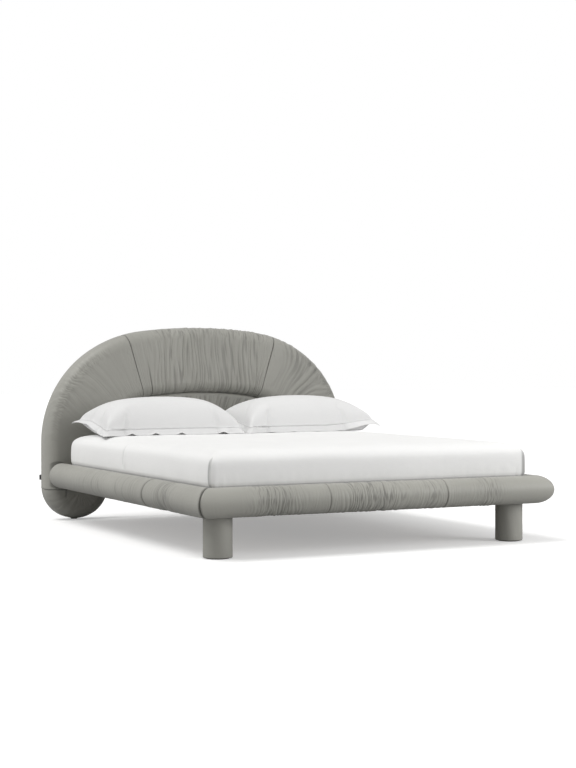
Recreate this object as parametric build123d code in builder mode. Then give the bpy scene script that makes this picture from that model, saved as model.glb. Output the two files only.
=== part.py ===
from build123d import *

import os
from math import cos, radians, sin

os.makedirs("parts", exist_ok=True)

# An upholstered double bed, in millimetres.
# X runs across the bed, +Y towards the headboard, +Z up, and the floor is at zero.
# The origin is the middle of the whole bed's footprint.

# Mattress and the fit around it
mattress_width = 1800.0
mattress_length = 2000.0
mattress_height = 220.0
mattress_clearance = 6.0
mattress_sink = 46.0
mattress_top_radius = 38.0
mattress_bottom_radius = 12.0
mattress_corner_radius = 60.0
sheet_thickness = 1.5
sheet_tuck = 110.0

# Padded rolls of the rails
roll_diameter = 146.0
roll_axis_margin = 42.0
floor_gap = 200.0
mitre_round = 16.0
seam_depth = 2.5
seam_width = 7.0
foot_seam_pitch = 670.0
side_seam_front = 700.0
side_seam_rear = 1420.0

# Headboard
headboard_height = 1155.0
headboard_side_inset = 10.0
headboard_thickness = 132.0
head_gap = 118.0
band_width = 400.0
haunch_radius = 790.0
shoulder_radius = 655.0
crown_angle = 7.5
haunch_angle = 33.5
seam_angle = 16.5
band_edge_round = 70.0
back_edge_round = 10.0
lobe_seam_height = 185.0
panel_bottom_height = 230.0
panel_recess = 62.0
panel_edge_round = 16.0
board_inset = 20.0
board_thickness = 24.0
back_panel_thickness = 6.0
pad_seam_round = 6.0

# Small parts of the headboard
lobe_glide_diameter = 40.0
lobe_glide_height = 6.0
lobe_glide_seat = 4.0
lobe_glide_forward = 4.0
lobe_glide_stem_diameter = 8.0
lobe_glide_stem_depth = 30.0
bumper_width = 45.0
bumper_height = 31.0
bumper_depth = 35.0
bumper_inset = 25.0
bumper_level = 251.0
bumper_round = 4.0

# Rail boards inside the rolls
rail_board_thickness = 24.0
rail_board_height = 108.0
rail_board_end_gap = 25.0

# Steel tongues that carry the side rails in the headboard
tongue_thickness = 6.0
tongue_height = 50.0
tongue_overlap = 210.0
flange_plate_size = 84.0
tongue_bolt_diameter = 8.0
tongue_bolt_head = 16.0
tongue_bolt_head_height = 5.0
tongue_bolt_raise = 16.0
tongue_bolt_pitch = 50.0
flange_bolt_pitch = 60.0

# Foot legs
leg_diameter = 144.0
leg_inset = 174.0
sleeve_thickness = 4.0
sleeve_round = 2.0
leg_glide_diameter = 112.0
leg_glide_height = 4.0
leg_bolt_diameter = 10.0
leg_bolt_depth = 60.0
leg_nut_width = 17.0
leg_nut_height = 8.0
leg_bolt_proud = 20.0

# Corner brackets
bracket_thickness = 4.0
bracket_plate_thickness = 5.0
bracket_arm = 110.0
bracket_height = 42.0
bracket_bolt_height = 30.0
bracket_bolt_places = (40.0, 90.0)
bracket_bolt_diameter = 6.0
bracket_bolt_head = 12.0
bracket_bolt_head_height = 3.5
bracket_bolt_length = 22.0

# Slatted base
slat_count = 14
slat_width = 70.0
slat_thickness = 12.0
shoe_base = 8.0
shoe_wall = 4.0
shoe_length = 38.0
slat_end_gap = 10.0
slat_end_margin = 60.0
shoe_divider = 6.0
beam_shoe_overhang = 4.0
shoe_inset = 2.0
ledge_width = 35.0
ledge_drop = 36.0
ledge_thickness = 3.0
ledge_screw_count = 8
ledge_screw_diameter = 5.0
ledge_screw_length = 18.0
ledge_screw_head = 9.0
ledge_screw_head_height = 2.5

# Centre beam and head crossbar
beam_width = 60.0
beam_height = 40.0
tube_wall = 2.5
crossbar_depth = 40.0
crossbar_plate_thickness = 4.0
crossbar_plate_size = 62.0
crossbar_bolt_pitch = 50.0
hanger_thickness = 3.0
hanger_reach = 45.0
hanger_width = 100.0
hanger_height = 50.0
hanger_screw_pitch = 80.0
running_gap = 0.3

# Pillows, each with its flanged case
pillow_width = 750.0
pillow_depth = 460.0
pillow_height = 206.0
pillow_middle_gap = 85.0
pillow_overhang = 40.0
flange_width = 40.0
flange_thickness = 3.0
case_thickness = 2.0
pillow_seam_share = 0.17

# Each pair gives a pillow section's height and its size, as shares of the crown or the base
pillow_crown_shares = ((0.0, 1.0), (0.37, 0.9), (0.65, 0.72), (0.85, 0.5), (0.97, 0.25), (1.0, 0.1))
pillow_base_shares = ((0.0, 1.0), (1.0, 0.72))
pillow_draw_share = 0.03

# Overrun of every cut
overrun = 5.0

# Heights
roll_radius = roll_diameter / 2
roll_axis_height = floor_gap + roll_radius
mattress_bottom = roll_axis_height + roll_radius - mattress_sink
mattress_top = mattress_bottom + mattress_height
slat_top = mattress_bottom - running_gap
slat_bottom = slat_top - slat_thickness
ledge_top = slat_bottom - shoe_base
beam_bottom = ledge_top - beam_height
rail_board_bottom = roll_axis_height - rail_board_height / 2

# Plan
roll_flat = roll_axis_margin - mattress_clearance
side_axis_x = mattress_width / 2 + roll_axis_margin
half_width = side_axis_x + roll_radius
headboard_half_width = half_width - headboard_side_inset
side_inner_x = side_axis_x - roll_flat
overall_length = (
    roll_radius + roll_axis_margin + mattress_length + head_gap + headboard_thickness + bumper_depth
)
foot_axis_y = roll_radius - overall_length / 2
foot_inner_y = foot_axis_y + roll_flat
mattress_foot_y = foot_axis_y + roll_axis_margin
mattress_head_y = mattress_foot_y + mattress_length
headboard_front_y = mattress_head_y + head_gap
headboard_back_y = headboard_front_y + headboard_thickness
ball_y = headboard_front_y - roll_radius
rail_board_end_y = ball_y + rail_board_end_gap
board_back_y = headboard_back_y - back_panel_thickness
board_front_y = board_back_y - board_thickness
crossbar_front_y = mattress_head_y + mattress_clearance
crossbar_back_y = crossbar_front_y + crossbar_depth

# Centres of the arcs that make the headboard's arch
crown_sine = sin(radians(crown_angle))
crown_cosine = cos(radians(crown_angle))
haunch_sine = sin(radians(haunch_angle))
haunch_cosine = cos(radians(haunch_angle))
shoulder_step = haunch_radius - shoulder_radius
haunch_step = (headboard_half_width - shoulder_radius - shoulder_step * haunch_sine) / crown_sine
crown_radius = haunch_radius + haunch_step
crown_z = headboard_height - crown_radius
haunch_x = haunch_step * crown_sine
haunch_z = crown_z + haunch_step * crown_cosine
shoulder_x = haunch_x + shoulder_step * haunch_sine
shoulder_z = haunch_z + shoulder_step * haunch_cosine
lobe_radius = band_width / 2
lobe_x = headboard_half_width - lobe_radius
lobe_z = lobe_glide_height + lobe_radius
panel_half_width = headboard_half_width - band_width

sides = (("left", -1), ("right", 1))


def upright(y):
    """An upright plane across the bed, seen from the foot, with its front towards -Y."""
    return Plane.XZ.offset(-y)


def arch(inset):
    """The right half of the headboard's arch, from the crown down to where its side is plumb."""
    CenterArc((0, crown_z), crown_radius - inset, 90 - crown_angle, crown_angle)
    CenterArc((haunch_x, haunch_z), haunch_radius - inset, 90 - haunch_angle, haunch_angle - crown_angle)
    CenterArc((shoulder_x, shoulder_z), shoulder_radius - inset, 0, 90 - haunch_angle)


def board_face(inset):
    """The whole headboard seen from the foot, with its two round feet, drawn in by an inset."""
    outer_x = headboard_half_width - inset
    inner_x = panel_half_width + inset
    bottom_z = panel_bottom_height + inset
    with BuildLine() as outline:
        arch(inset)
        Line((outer_x, shoulder_z), (outer_x, lobe_z))
        CenterArc((lobe_x, lobe_z), lobe_radius - inset, 180, 180)
        Line((inner_x, lobe_z), (inner_x, bottom_z))
        Line((inner_x, bottom_z), (0, bottom_z))
        mirror(about=Plane.YZ)
    make_face(outline.edges())


def bolt(plane, diameter, length, head_diameter, head_height):
    """A bolt whose head stands on the plane and whose shank goes below it."""
    with BuildSketch(plane) as head:
        Circle(head_diameter / 2)
    extrude(head.sketch, amount=head_height)
    with BuildSketch(plane) as shank:
        Circle(diameter / 2)
    extrude(shank.sketch, amount=-length)


def bores(planes, diameter, depth):
    """Round holes that start a cut's overrun above each plane and go down to a depth below it."""
    for plane in planes:
        with BuildSketch(plane.offset(overrun)) as hole:
            Circle(diameter / 2)
        extrude(hole.sketch, amount=-(depth + overrun), mode=Mode.SUBTRACT)


def sinks(planes):
    """Sinks for the heads of the tongue's bolts, as deep as the heads are high."""
    bores([plane.offset(tongue_bolt_head_height) for plane in planes],
          tongue_bolt_head, tongue_bolt_head_height)


def block(x_range, y_range, z_range, mode=Mode.ADD):
    """A box between two places along each axis."""
    x_size = x_range[1] - x_range[0]
    y_size = y_range[1] - y_range[0]
    with BuildSketch(Plane.XY.offset(z_range[0])) as base:
        with Locations((x_range[0] + x_size / 2, y_range[0] + y_size / 2)):
            Rectangle(x_size, y_size)
    extrude(base.sketch, amount=z_range[1] - z_range[0], mode=mode)


def span(sign, inner, outer):
    """A range along X on the left or right side, from its inner and outer distance to the middle."""
    return (inner, outer) if sign > 0 else (-outer, -inner)


def inward(sign, x, y, z):
    """A plane on a side's inner face, looking to the middle of the bed."""
    return Plane(origin=(sign * x, y, z), x_dir=(0, 1, 0), z_dir=(-sign, 0, 0))


# Places of the bolts and screws
tongue_z = roll_axis_height
tongue_y = ball_y - tongue_overlap
tongue_inner_x = side_inner_x + rail_board_thickness
tongue_outer_x = tongue_inner_x + tongue_thickness
tongue_middle_x = tongue_inner_x + tongue_thickness / 2
bracket_bolt_z = floor_gap + bracket_bolt_height
ledge_screw_z = ledge_top - ledge_drop / 2 - ledge_thickness
ledge_foot_y = foot_inner_y
ledge_head_y = crossbar_front_y + crossbar_depth / 2 - crossbar_plate_size / 2 - running_gap
ledge_screw_pitch = (ledge_head_y - ledge_foot_y) / ledge_screw_count
crossbar_middle_y = (crossbar_front_y + crossbar_back_y) / 2
crossbar_middle_z = ledge_top - beam_height / 2
hanger_ends = (("foot", foot_inner_y, 1), ("head", crossbar_front_y, -1))
slat_pitch = (crossbar_front_y - foot_inner_y - 2 * slat_end_margin) / (slat_count - 1)
slat_middle_y = (crossbar_front_y + foot_inner_y) / 2


def tongue_bolt_planes(sign):
    """Where the bolts through a rail board and its steel tongue start."""
    first = tongue_y + tongue_bolt_pitch / 2
    return [
        inward(sign, side_inner_x + tongue_bolt_head_height, first + k * tongue_bolt_pitch,
               tongue_z + tongue_bolt_raise)
        for k in range(2)
    ]


def flange_bolt_planes(sign):
    """Where the bolts through the headboard's board and the tongue's flange start, at the back."""
    half = flange_bolt_pitch / 2
    return [
        Plane(origin=(sign * tongue_middle_x + dx, board_back_y - tongue_bolt_head_height, tongue_z + dz),
              x_dir=(-1, 0, 0), z_dir=(0, 1, 0))
        for dx in (-half, half)
        for dz in (-half, half)
    ]


def side_bracket_planes(sign):
    """Where a corner bracket's bolts meet its side rail."""
    return [inward(sign, side_inner_x - bracket_thickness, foot_inner_y + place, bracket_bolt_z)
            for place in bracket_bolt_places]


def foot_bracket_planes(sign):
    """Where a corner bracket's bolts meet the foot rail."""
    return [Plane(origin=(sign * (side_inner_x - place), foot_inner_y + bracket_thickness, bracket_bolt_z),
                  x_dir=(-1, 0, 0), z_dir=(0, 1, 0))
            for place in bracket_bolt_places]


def ledge_screw_planes(sign):
    """Where the screws meet a ledge."""
    return [inward(sign, side_inner_x - ledge_thickness, ledge_foot_y + (k + 0.5) * ledge_screw_pitch,
                   ledge_screw_z)
            for k in range(ledge_screw_count)]


def hanger_screw_planes(wall_y, direction):
    """Where the screws meet the upright plate of a beam hanger."""
    half = hanger_screw_pitch / 2
    return [Plane(origin=(dx, wall_y + direction * hanger_thickness, crossbar_middle_z),
                  x_dir=(1, 0, 0), z_dir=(0, direction, 0))
            for dx in (-half, half)]


def crossbar_bolt_planes(sign):
    """Where the bolts meet one end plate of the head crossbar."""
    half = crossbar_bolt_pitch / 2
    return [
        inward(sign, side_inner_x - crossbar_plate_thickness, crossbar_middle_y + dy, crossbar_middle_z + dz)
        for dy in (-half, half)
        for dz in (-half, half)
    ]


# Headboard: the upholstered band as one blank, and the pocket that its board takes out of the pads
with BuildPart() as band:
    with BuildSketch(upright(headboard_back_y)):
        with BuildLine():
            arch(0)
            Line((headboard_half_width, shoulder_z), (headboard_half_width, lobe_z))
            CenterArc((lobe_x, lobe_z), lobe_radius, 180, 180)
            Line((panel_half_width, lobe_z), (panel_half_width, shoulder_z))
            arch(band_width)
            mirror(about=Plane.YZ)
        make_face()
    extrude(amount=headboard_thickness)
    fillet(band.faces().sort_by(Axis.Y)[0].edges(), band_edge_round)
    fillet(band.faces().sort_by(Axis.Y)[-1].edges(), back_edge_round)

with BuildPart() as board_pocket:
    with BuildSketch(upright(headboard_back_y + overrun)):
        board_face(board_inset)
    extrude(amount=overrun + back_panel_thickness + board_thickness)

glide_y = (board_front_y + board_back_y) / 2 - lobe_glide_forward

with BuildPart() as glide_holes:
    with BuildSketch(Plane.XY):
        with Locations((-lobe_x, glide_y), (lobe_x, glide_y)):
            Circle(lobe_glide_stem_diameter / 2)
    extrude(amount=lobe_glide_height + board_inset + lobe_glide_stem_depth)

with BuildPart() as tongue_pockets:
    for side, sign in sides:
        block(span(sign, tongue_inner_x, tongue_outer_x), (tongue_y, board_front_y),
              (tongue_z - tongue_height / 2, tongue_z + tongue_height / 2))
        block(span(sign, tongue_middle_x - flange_plate_size / 2, tongue_middle_x + flange_plate_size / 2),
              (board_front_y - tongue_thickness, board_front_y),
              (tongue_z - flange_plate_size / 2, tongue_z + flange_plate_size / 2))

# Headboard: the board inside
with BuildPart() as headboard_board:
    with BuildSketch(upright(board_back_y)):
        board_face(board_inset)
    extrude(amount=board_thickness)
    add(glide_holes.part, mode=Mode.SUBTRACT)
    for side, sign in sides:
        bores(flange_bolt_planes(sign), tongue_bolt_diameter, board_thickness)
        sinks(flange_bolt_planes(sign))
headboard_board.part.label = "headboard_board"
export_step(headboard_board.part, "parts/headboard_board.step")

# Headboard: the covered panel that closes the back
with BuildPart() as headboard_back_panel:
    with BuildSketch(upright(headboard_back_y)):
        board_face(board_inset)
    extrude(amount=back_panel_thickness)
headboard_back_panel.part.label = "headboard_back_panel"
export_step(headboard_back_panel.part, "parts/headboard_back_panel.step")

# Headboard: the band's three pads, parted by the two radial seams, and the pads of its feet
seam_sine = sin(radians(seam_angle))
seam_cosine = cos(radians(seam_angle))
lobe_seam = Plane.XY.offset(lobe_seam_height)
radial_seams = {
    sign: Plane(origin=(sign * haunch_x, 0, haunch_z), x_dir=(0, 1, 0),
                z_dir=(sign * seam_cosine, 0, -seam_sine))
    for side, sign in sides
}


def sewn(pad, plane):
    """Round a pad's edges where a seam's plane parts it from its neighbour."""
    fillet(pad.faces().filter_by(plane).edges(), pad_seam_round)


with BuildPart() as arch_pad_center:
    add(band.part)
    for side, sign in sides:
        split(bisect_by=radial_seams[sign], keep=Keep.BOTTOM)
    for side, sign in sides:
        sewn(arch_pad_center, radial_seams[sign])
    add(board_pocket.part, mode=Mode.SUBTRACT)
arch_pad_center.part.label = "arch_pad_center"
export_step(arch_pad_center.part, "parts/arch_pad_center.step")

for side, sign in sides:
    with BuildPart() as arch_pad:
        add(band.part)
        split(bisect_by=radial_seams[sign], keep=Keep.TOP)
        split(bisect_by=lobe_seam, keep=Keep.TOP)
        sewn(arch_pad, radial_seams[sign])
        sewn(arch_pad, lobe_seam)
        add(board_pocket.part, mode=Mode.SUBTRACT)
        add(tongue_pockets.part, mode=Mode.SUBTRACT)
    arch_pad.part.label = f"arch_pad_{side}"
    export_step(arch_pad.part, f"parts/{arch_pad.part.label}.step")

    with BuildPart() as lobe_pad:
        add(band.part)
        split(bisect_by=Plane.YZ, keep=Keep.TOP if sign > 0 else Keep.BOTTOM)
        split(bisect_by=lobe_seam, keep=Keep.BOTTOM)
        sewn(lobe_pad, lobe_seam)
        add(board_pocket.part, mode=Mode.SUBTRACT)
        add(glide_holes.part, mode=Mode.SUBTRACT)
    lobe_pad.part.label = f"lobe_pad_{side}"
    export_step(lobe_pad.part, f"parts/{lobe_pad.part.label}.step")

# Headboard: the recessed pad inside the arch
with BuildPart() as inner_pad:
    with BuildSketch(upright(headboard_back_y)):
        with BuildLine():
            arch(band_width)
            Line((panel_half_width, shoulder_z), (panel_half_width, panel_bottom_height))
            Line((panel_half_width, panel_bottom_height), (0, panel_bottom_height))
            mirror(about=Plane.YZ)
        make_face()
    extrude(amount=headboard_thickness - panel_recess)
    fillet(inner_pad.faces().sort_by(Axis.Y)[0].edges(), panel_edge_round)
    add(board_pocket.part, mode=Mode.SUBTRACT)
inner_pad.part.label = "inner_pad"
export_step(inner_pad.part, "parts/inner_pad.step")

# Headboard: glides under its feet, and the rubber blocks that keep it off the wall
for side, sign in sides:
    with BuildPart() as lobe_glide:
        with BuildSketch(Plane.XY):
            with Locations((sign * lobe_x, glide_y)):
                Circle(lobe_glide_diameter / 2)
        extrude(amount=lobe_glide_height + lobe_glide_seat)
        with BuildSketch(upright(headboard_back_y)):
            with Locations((sign * lobe_x, lobe_z)):
                Circle(lobe_radius)
        extrude(amount=headboard_thickness, mode=Mode.SUBTRACT)
        with BuildSketch(Plane.XY):
            with Locations((sign * lobe_x, glide_y)):
                Circle(lobe_glide_stem_diameter / 2)
        extrude(amount=lobe_glide_height + board_inset + lobe_glide_stem_depth)
    lobe_glide.part.label = f"lobe_glide_{side}"
    export_step(lobe_glide.part, f"parts/{lobe_glide.part.label}.step")

    with BuildPart() as wall_bumper:
        with BuildSketch(upright(headboard_back_y + bumper_depth)):
            with Locations((sign * (headboard_half_width - bumper_inset), bumper_level)):
                RectangleRounded(bumper_width, bumper_height, bumper_round)
        extrude(amount=bumper_depth)
    wall_bumper.part.label = f"wall_bumper_{side}"
    export_step(wall_bumper.part, f"parts/{wall_bumper.part.label}.step")

# Rail boards, which the rolls are wrapped round
foot_board_front_y = foot_inner_y - rail_board_thickness
rail_board_z = (rail_board_bottom, rail_board_bottom + rail_board_height)


def rail_board_boxes(mode):
    """The three rail boards as boxes: the foot board between the two side boards."""
    block((-side_inner_x, side_inner_x), (foot_board_front_y, foot_inner_y), rail_board_z, mode)
    for side, sign in sides:
        block(span(sign, side_inner_x, tongue_inner_x), (foot_board_front_y, rail_board_end_y),
              rail_board_z, mode)


for side, sign in sides:
    with BuildPart() as side_rail_board:
        block(span(sign, side_inner_x, tongue_inner_x), (foot_board_front_y, rail_board_end_y), rail_board_z)
        bores(tongue_bolt_planes(sign), tongue_bolt_diameter, rail_board_thickness)
        sinks(tongue_bolt_planes(sign))
        bores(side_bracket_planes(sign), bracket_bolt_diameter, bracket_bolt_length)
        bores(ledge_screw_planes(sign), ledge_screw_diameter, ledge_screw_length)
        bores(crossbar_bolt_planes(sign), bracket_bolt_diameter, bracket_bolt_length)
    side_rail_board.part.label = f"side_rail_board_{side}"
    export_step(side_rail_board.part, f"parts/{side_rail_board.part.label}.step")

with BuildPart() as foot_rail_board:
    block((-side_inner_x, side_inner_x), (foot_board_front_y, foot_inner_y), rail_board_z)
    for side, sign in sides:
        bores(foot_bracket_planes(sign), bracket_bolt_diameter, bracket_bolt_length)
    bores(hanger_screw_planes(foot_inner_y, 1), ledge_screw_diameter, ledge_screw_length)
foot_rail_board.part.label = "foot_rail_board"
export_step(foot_rail_board.part, "parts/foot_rail_board.step")

# Padded rolls: round, flat towards the mattress, mitred at the foot and domed at the headboard
mitres = [
    Plane(origin=(sign * side_axis_x, foot_axis_y, roll_axis_height), x_dir=(0, 0, 1), z_dir=(sign, 1, 0))
    for side, sign in sides
]


def seam_ring(plane):
    """A shallow sewn groove round a roll, on a plane square to the roll's axis."""
    with BuildSketch(plane.offset(-seam_width / 2)) as ring:
        Circle(roll_radius + overrun)
        Circle(roll_radius - seam_depth, mode=Mode.SUBTRACT)
    extrude(ring.sketch, amount=seam_width, mode=Mode.SUBTRACT)


with BuildPart() as side_roll_left:
    with BuildSketch(upright(ball_y)):
        with Locations((-side_axis_x, roll_axis_height)):
            Circle(roll_radius)
    extrude(amount=ball_y - foot_axis_y + roll_diameter)
    with Locations((-side_axis_x, ball_y, roll_axis_height)):
        Sphere(roll_radius)
    split(bisect_by=mitres[0], keep=Keep.TOP)
    fillet(side_roll_left.edges().filter_by(GeomType.ELLIPSE), mitre_round)
    for place in (side_seam_front, side_seam_rear):
        seam_ring(Plane(origin=(-side_axis_x, foot_axis_y + place, roll_axis_height),
                        x_dir=(1, 0, 0), z_dir=(0, 1, 0)))
    block((-side_inner_x, 0), (foot_axis_y - roll_diameter, headboard_back_y),
          (0, mattress_top), Mode.SUBTRACT)
    rail_board_boxes(Mode.SUBTRACT)
    add(tongue_pockets.part, mode=Mode.SUBTRACT)
side_roll_left.part.label = "side_roll_left"
export_step(side_roll_left.part, "parts/side_roll_left.step")

with BuildPart() as side_roll_right:
    mirror(side_roll_left.part, about=Plane.YZ)
side_roll_right.part.label = "side_roll_right"
export_step(side_roll_right.part, "parts/side_roll_right.step")

with BuildPart() as foot_roll:
    with BuildSketch(Plane(origin=(-half_width, foot_axis_y, roll_axis_height),
                           x_dir=(0, 1, 0), z_dir=(1, 0, 0))):
        Circle(roll_radius)
    extrude(amount=2 * half_width)
    for mitre in mitres:
        split(bisect_by=mitre, keep=Keep.BOTTOM)
    fillet(foot_roll.edges().filter_by(GeomType.ELLIPSE), mitre_round)
    for place in (-foot_seam_pitch / 2, foot_seam_pitch / 2):
        seam_ring(Plane(origin=(place, foot_axis_y, roll_axis_height), x_dir=(0, 1, 0), z_dir=(1, 0, 0)))
    block((-half_width, half_width), (foot_inner_y, foot_axis_y + roll_diameter),
          (0, mattress_top), Mode.SUBTRACT)
    rail_board_boxes(Mode.SUBTRACT)
foot_roll.part.label = "foot_roll"
export_step(foot_roll.part, "parts/foot_roll.step")

# Steel tongues from the side rails into the headboard, and their bolts
for side, sign in sides:
    with BuildPart() as rail_tongue:
        block(span(sign, tongue_inner_x, tongue_outer_x), (tongue_y, board_front_y),
              (tongue_z - tongue_height / 2, tongue_z + tongue_height / 2))
        block(span(sign, tongue_middle_x - flange_plate_size / 2, tongue_middle_x + flange_plate_size / 2),
              (board_front_y - tongue_thickness, board_front_y),
              (tongue_z - flange_plate_size / 2, tongue_z + flange_plate_size / 2))
        bores(tongue_bolt_planes(sign), tongue_bolt_diameter, rail_board_thickness + tongue_thickness)
        bores(flange_bolt_planes(sign), tongue_bolt_diameter, board_thickness + tongue_thickness)
    rail_tongue.part.label = f"rail_tongue_{side}"
    export_step(rail_tongue.part, f"parts/{rail_tongue.part.label}.step")

with BuildPart() as tongue_bolts:
    for side, sign in sides:
        for plane in tongue_bolt_planes(sign):
            bolt(plane, tongue_bolt_diameter,
                 rail_board_thickness - tongue_bolt_head_height + tongue_thickness,
                 tongue_bolt_head, tongue_bolt_head_height)
        for plane in flange_bolt_planes(sign):
            bolt(plane, tongue_bolt_diameter, board_thickness - tongue_bolt_head_height + tongue_thickness,
                 tongue_bolt_head, tongue_bolt_head_height)
tongue_bolts.part.label = "tongue_bolts"
export_step(tongue_bolts.part, "parts/tongue_bolts.step")

# Corner brackets that join the rails at the foot and carry the legs
leg_x = half_width - leg_inset
leg_y = foot_axis_y - roll_radius + leg_inset

for side, sign in sides:
    inner_x = side_inner_x - bracket_arm
    with BuildPart() as corner_bracket:
        block(span(sign, inner_x, side_inner_x), (foot_inner_y, foot_inner_y + bracket_arm),
              (floor_gap, floor_gap + bracket_plate_thickness))
        block(span(sign, side_inner_x - bracket_thickness, side_inner_x),
              (foot_inner_y, foot_inner_y + bracket_arm), (floor_gap, floor_gap + bracket_height))
        block(span(sign, inner_x, side_inner_x), (foot_inner_y, foot_inner_y + bracket_thickness),
              (floor_gap, floor_gap + bracket_height))
        bores(side_bracket_planes(sign), bracket_bolt_diameter, bracket_thickness)
        bores(foot_bracket_planes(sign), bracket_bolt_diameter, bracket_thickness)
        bores([Plane(origin=(sign * leg_x, leg_y, floor_gap + bracket_plate_thickness))],
              leg_bolt_diameter, bracket_plate_thickness + overrun)
    corner_bracket.part.label = f"corner_bracket_{side}"
    export_step(corner_bracket.part, f"parts/{corner_bracket.part.label}.step")

with BuildPart() as corner_bolts:
    for side, sign in sides:
        for plane in side_bracket_planes(sign) + foot_bracket_planes(sign):
            bolt(plane, bracket_bolt_diameter, bracket_bolt_length,
                 bracket_bolt_head, bracket_bolt_head_height)
corner_bolts.part.label = "corner_bolts"
export_step(corner_bolts.part, "parts/corner_bolts.step")

# Foot legs: a turned core in a leather sleeve, on a glide, hung from the corner bracket by a bolt
for side, sign in sides:
    leg_place = (sign * leg_x, leg_y)
    with BuildPart() as leg_core:
        with BuildSketch(Plane.XY.offset(leg_glide_height)):
            with Locations(leg_place):
                Circle(leg_diameter / 2 - sleeve_thickness)
        extrude(amount=floor_gap - leg_glide_height)
        bores([Plane(origin=(*leg_place, floor_gap))], leg_bolt_diameter, leg_bolt_depth)
    leg_core.part.label = f"leg_core_{side}"
    export_step(leg_core.part, f"parts/{leg_core.part.label}.step")

    with BuildPart() as leg_sleeve:
        with BuildSketch(Plane.XY.offset(leg_glide_height)):
            with Locations(leg_place):
                Circle(leg_diameter / 2)
                Circle(leg_diameter / 2 - sleeve_thickness, mode=Mode.SUBTRACT)
        extrude(amount=floor_gap - leg_glide_height)
        fillet(leg_sleeve.edges().filter_by(GeomType.CIRCLE).group_by(SortBy.RADIUS)[-1], sleeve_round)
    leg_sleeve.part.label = f"leg_sleeve_{side}"
    export_step(leg_sleeve.part, f"parts/{leg_sleeve.part.label}.step")

    with BuildPart() as leg_glide:
        with BuildSketch(Plane.XY):
            with Locations(leg_place):
                Circle(leg_glide_diameter / 2)
        extrude(amount=leg_glide_height)
    leg_glide.part.label = f"leg_glide_{side}"
    export_step(leg_glide.part, f"parts/{leg_glide.part.label}.step")

    with BuildPart() as leg_bolt:
        with BuildSketch(Plane.XY.offset(floor_gap - leg_bolt_depth)):
            with Locations(leg_place):
                Circle(leg_bolt_diameter / 2)
        extrude(amount=leg_bolt_depth + leg_bolt_proud)
        with BuildSketch(Plane.XY.offset(floor_gap + bracket_plate_thickness)):
            with Locations(leg_place):
                RegularPolygon(leg_nut_width / 2, 6, major_radius=False)
        extrude(amount=leg_nut_height)
    leg_bolt.part.label = f"leg_bolt_{side}"
    export_step(leg_bolt.part, f"parts/{leg_bolt.part.label}.step")

# Ledges along the side rails, and their screws
for side, sign in sides:
    with BuildPart() as side_ledge:
        block(span(sign, side_inner_x - ledge_thickness, side_inner_x), (ledge_foot_y, ledge_head_y),
              (ledge_top - ledge_drop, ledge_top))
        block(span(sign, side_inner_x - ledge_width, side_inner_x), (ledge_foot_y, ledge_head_y),
              (ledge_top - ledge_thickness, ledge_top))
        bores(ledge_screw_planes(sign), ledge_screw_diameter, ledge_thickness)
    side_ledge.part.label = f"side_ledge_{side}"
    export_step(side_ledge.part, f"parts/{side_ledge.part.label}.step")

with BuildPart() as ledge_screws:
    for side, sign in sides:
        for plane in ledge_screw_planes(sign):
            bolt(plane, ledge_screw_diameter, ledge_screw_length, ledge_screw_head, ledge_screw_head_height)
ledge_screws.part.label = "ledge_screws"
export_step(ledge_screws.part, "parts/ledge_screws.step")

# Head crossbar: a square tube with welded end plates, and its bolts
with BuildPart() as head_crossbar:
    crossbar_end_x = side_inner_x - crossbar_plate_thickness
    crossbar_z = (beam_bottom, ledge_top)
    block((-crossbar_end_x, crossbar_end_x), (crossbar_front_y, crossbar_back_y), crossbar_z)
    block((-crossbar_end_x, crossbar_end_x), (crossbar_front_y + tube_wall, crossbar_back_y - tube_wall),
          (beam_bottom + tube_wall, ledge_top - tube_wall), Mode.SUBTRACT)
    for side, sign in sides:
        block(span(sign, crossbar_end_x, side_inner_x),
              (crossbar_middle_y - crossbar_plate_size / 2, crossbar_middle_y + crossbar_plate_size / 2),
              (crossbar_middle_z - crossbar_plate_size / 2, crossbar_middle_z + crossbar_plate_size / 2))
        bores(crossbar_bolt_planes(sign), bracket_bolt_diameter, crossbar_plate_thickness)
    bores(hanger_screw_planes(crossbar_front_y, -1), ledge_screw_diameter, ledge_screw_length)
head_crossbar.part.label = "head_crossbar"
export_step(head_crossbar.part, "parts/head_crossbar.step")

with BuildPart() as crossbar_bolts:
    for side, sign in sides:
        for plane in crossbar_bolt_planes(sign):
            bolt(plane, bracket_bolt_diameter, bracket_bolt_length,
                 bracket_bolt_head, bracket_bolt_head_height)
crossbar_bolts.part.label = "crossbar_bolts"
export_step(crossbar_bolts.part, "parts/crossbar_bolts.step")

# Centre beam and the hangers that hold its two ends
beam_foot_y = foot_inner_y + hanger_thickness
beam_head_y = crossbar_front_y - hanger_thickness

with BuildPart() as center_beam:
    block((-beam_width / 2, beam_width / 2), (beam_foot_y, beam_head_y), (beam_bottom, ledge_top))
    block((-beam_width / 2 + tube_wall, beam_width / 2 - tube_wall),
          (beam_foot_y + tube_wall, beam_head_y - tube_wall),
          (beam_bottom + tube_wall, ledge_top - tube_wall), Mode.SUBTRACT)
center_beam.part.label = "center_beam"
export_step(center_beam.part, "parts/center_beam.step")

for end, wall_y, direction in hanger_ends:
    plate_y = sorted((wall_y, wall_y + direction * hanger_thickness))
    shelf_y = sorted((wall_y, wall_y + direction * hanger_reach))
    with BuildPart() as beam_hanger:
        block((-hanger_width / 2, hanger_width / 2), plate_y,
              (beam_bottom - hanger_thickness, beam_bottom - hanger_thickness + hanger_height - running_gap))
        block((-hanger_width / 2, hanger_width / 2), shelf_y, (beam_bottom - hanger_thickness, beam_bottom))
        bores(hanger_screw_planes(wall_y, direction), ledge_screw_diameter, hanger_thickness)
    beam_hanger.part.label = f"beam_hanger_{end}"
    export_step(beam_hanger.part, f"parts/{beam_hanger.part.label}.step")

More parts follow.
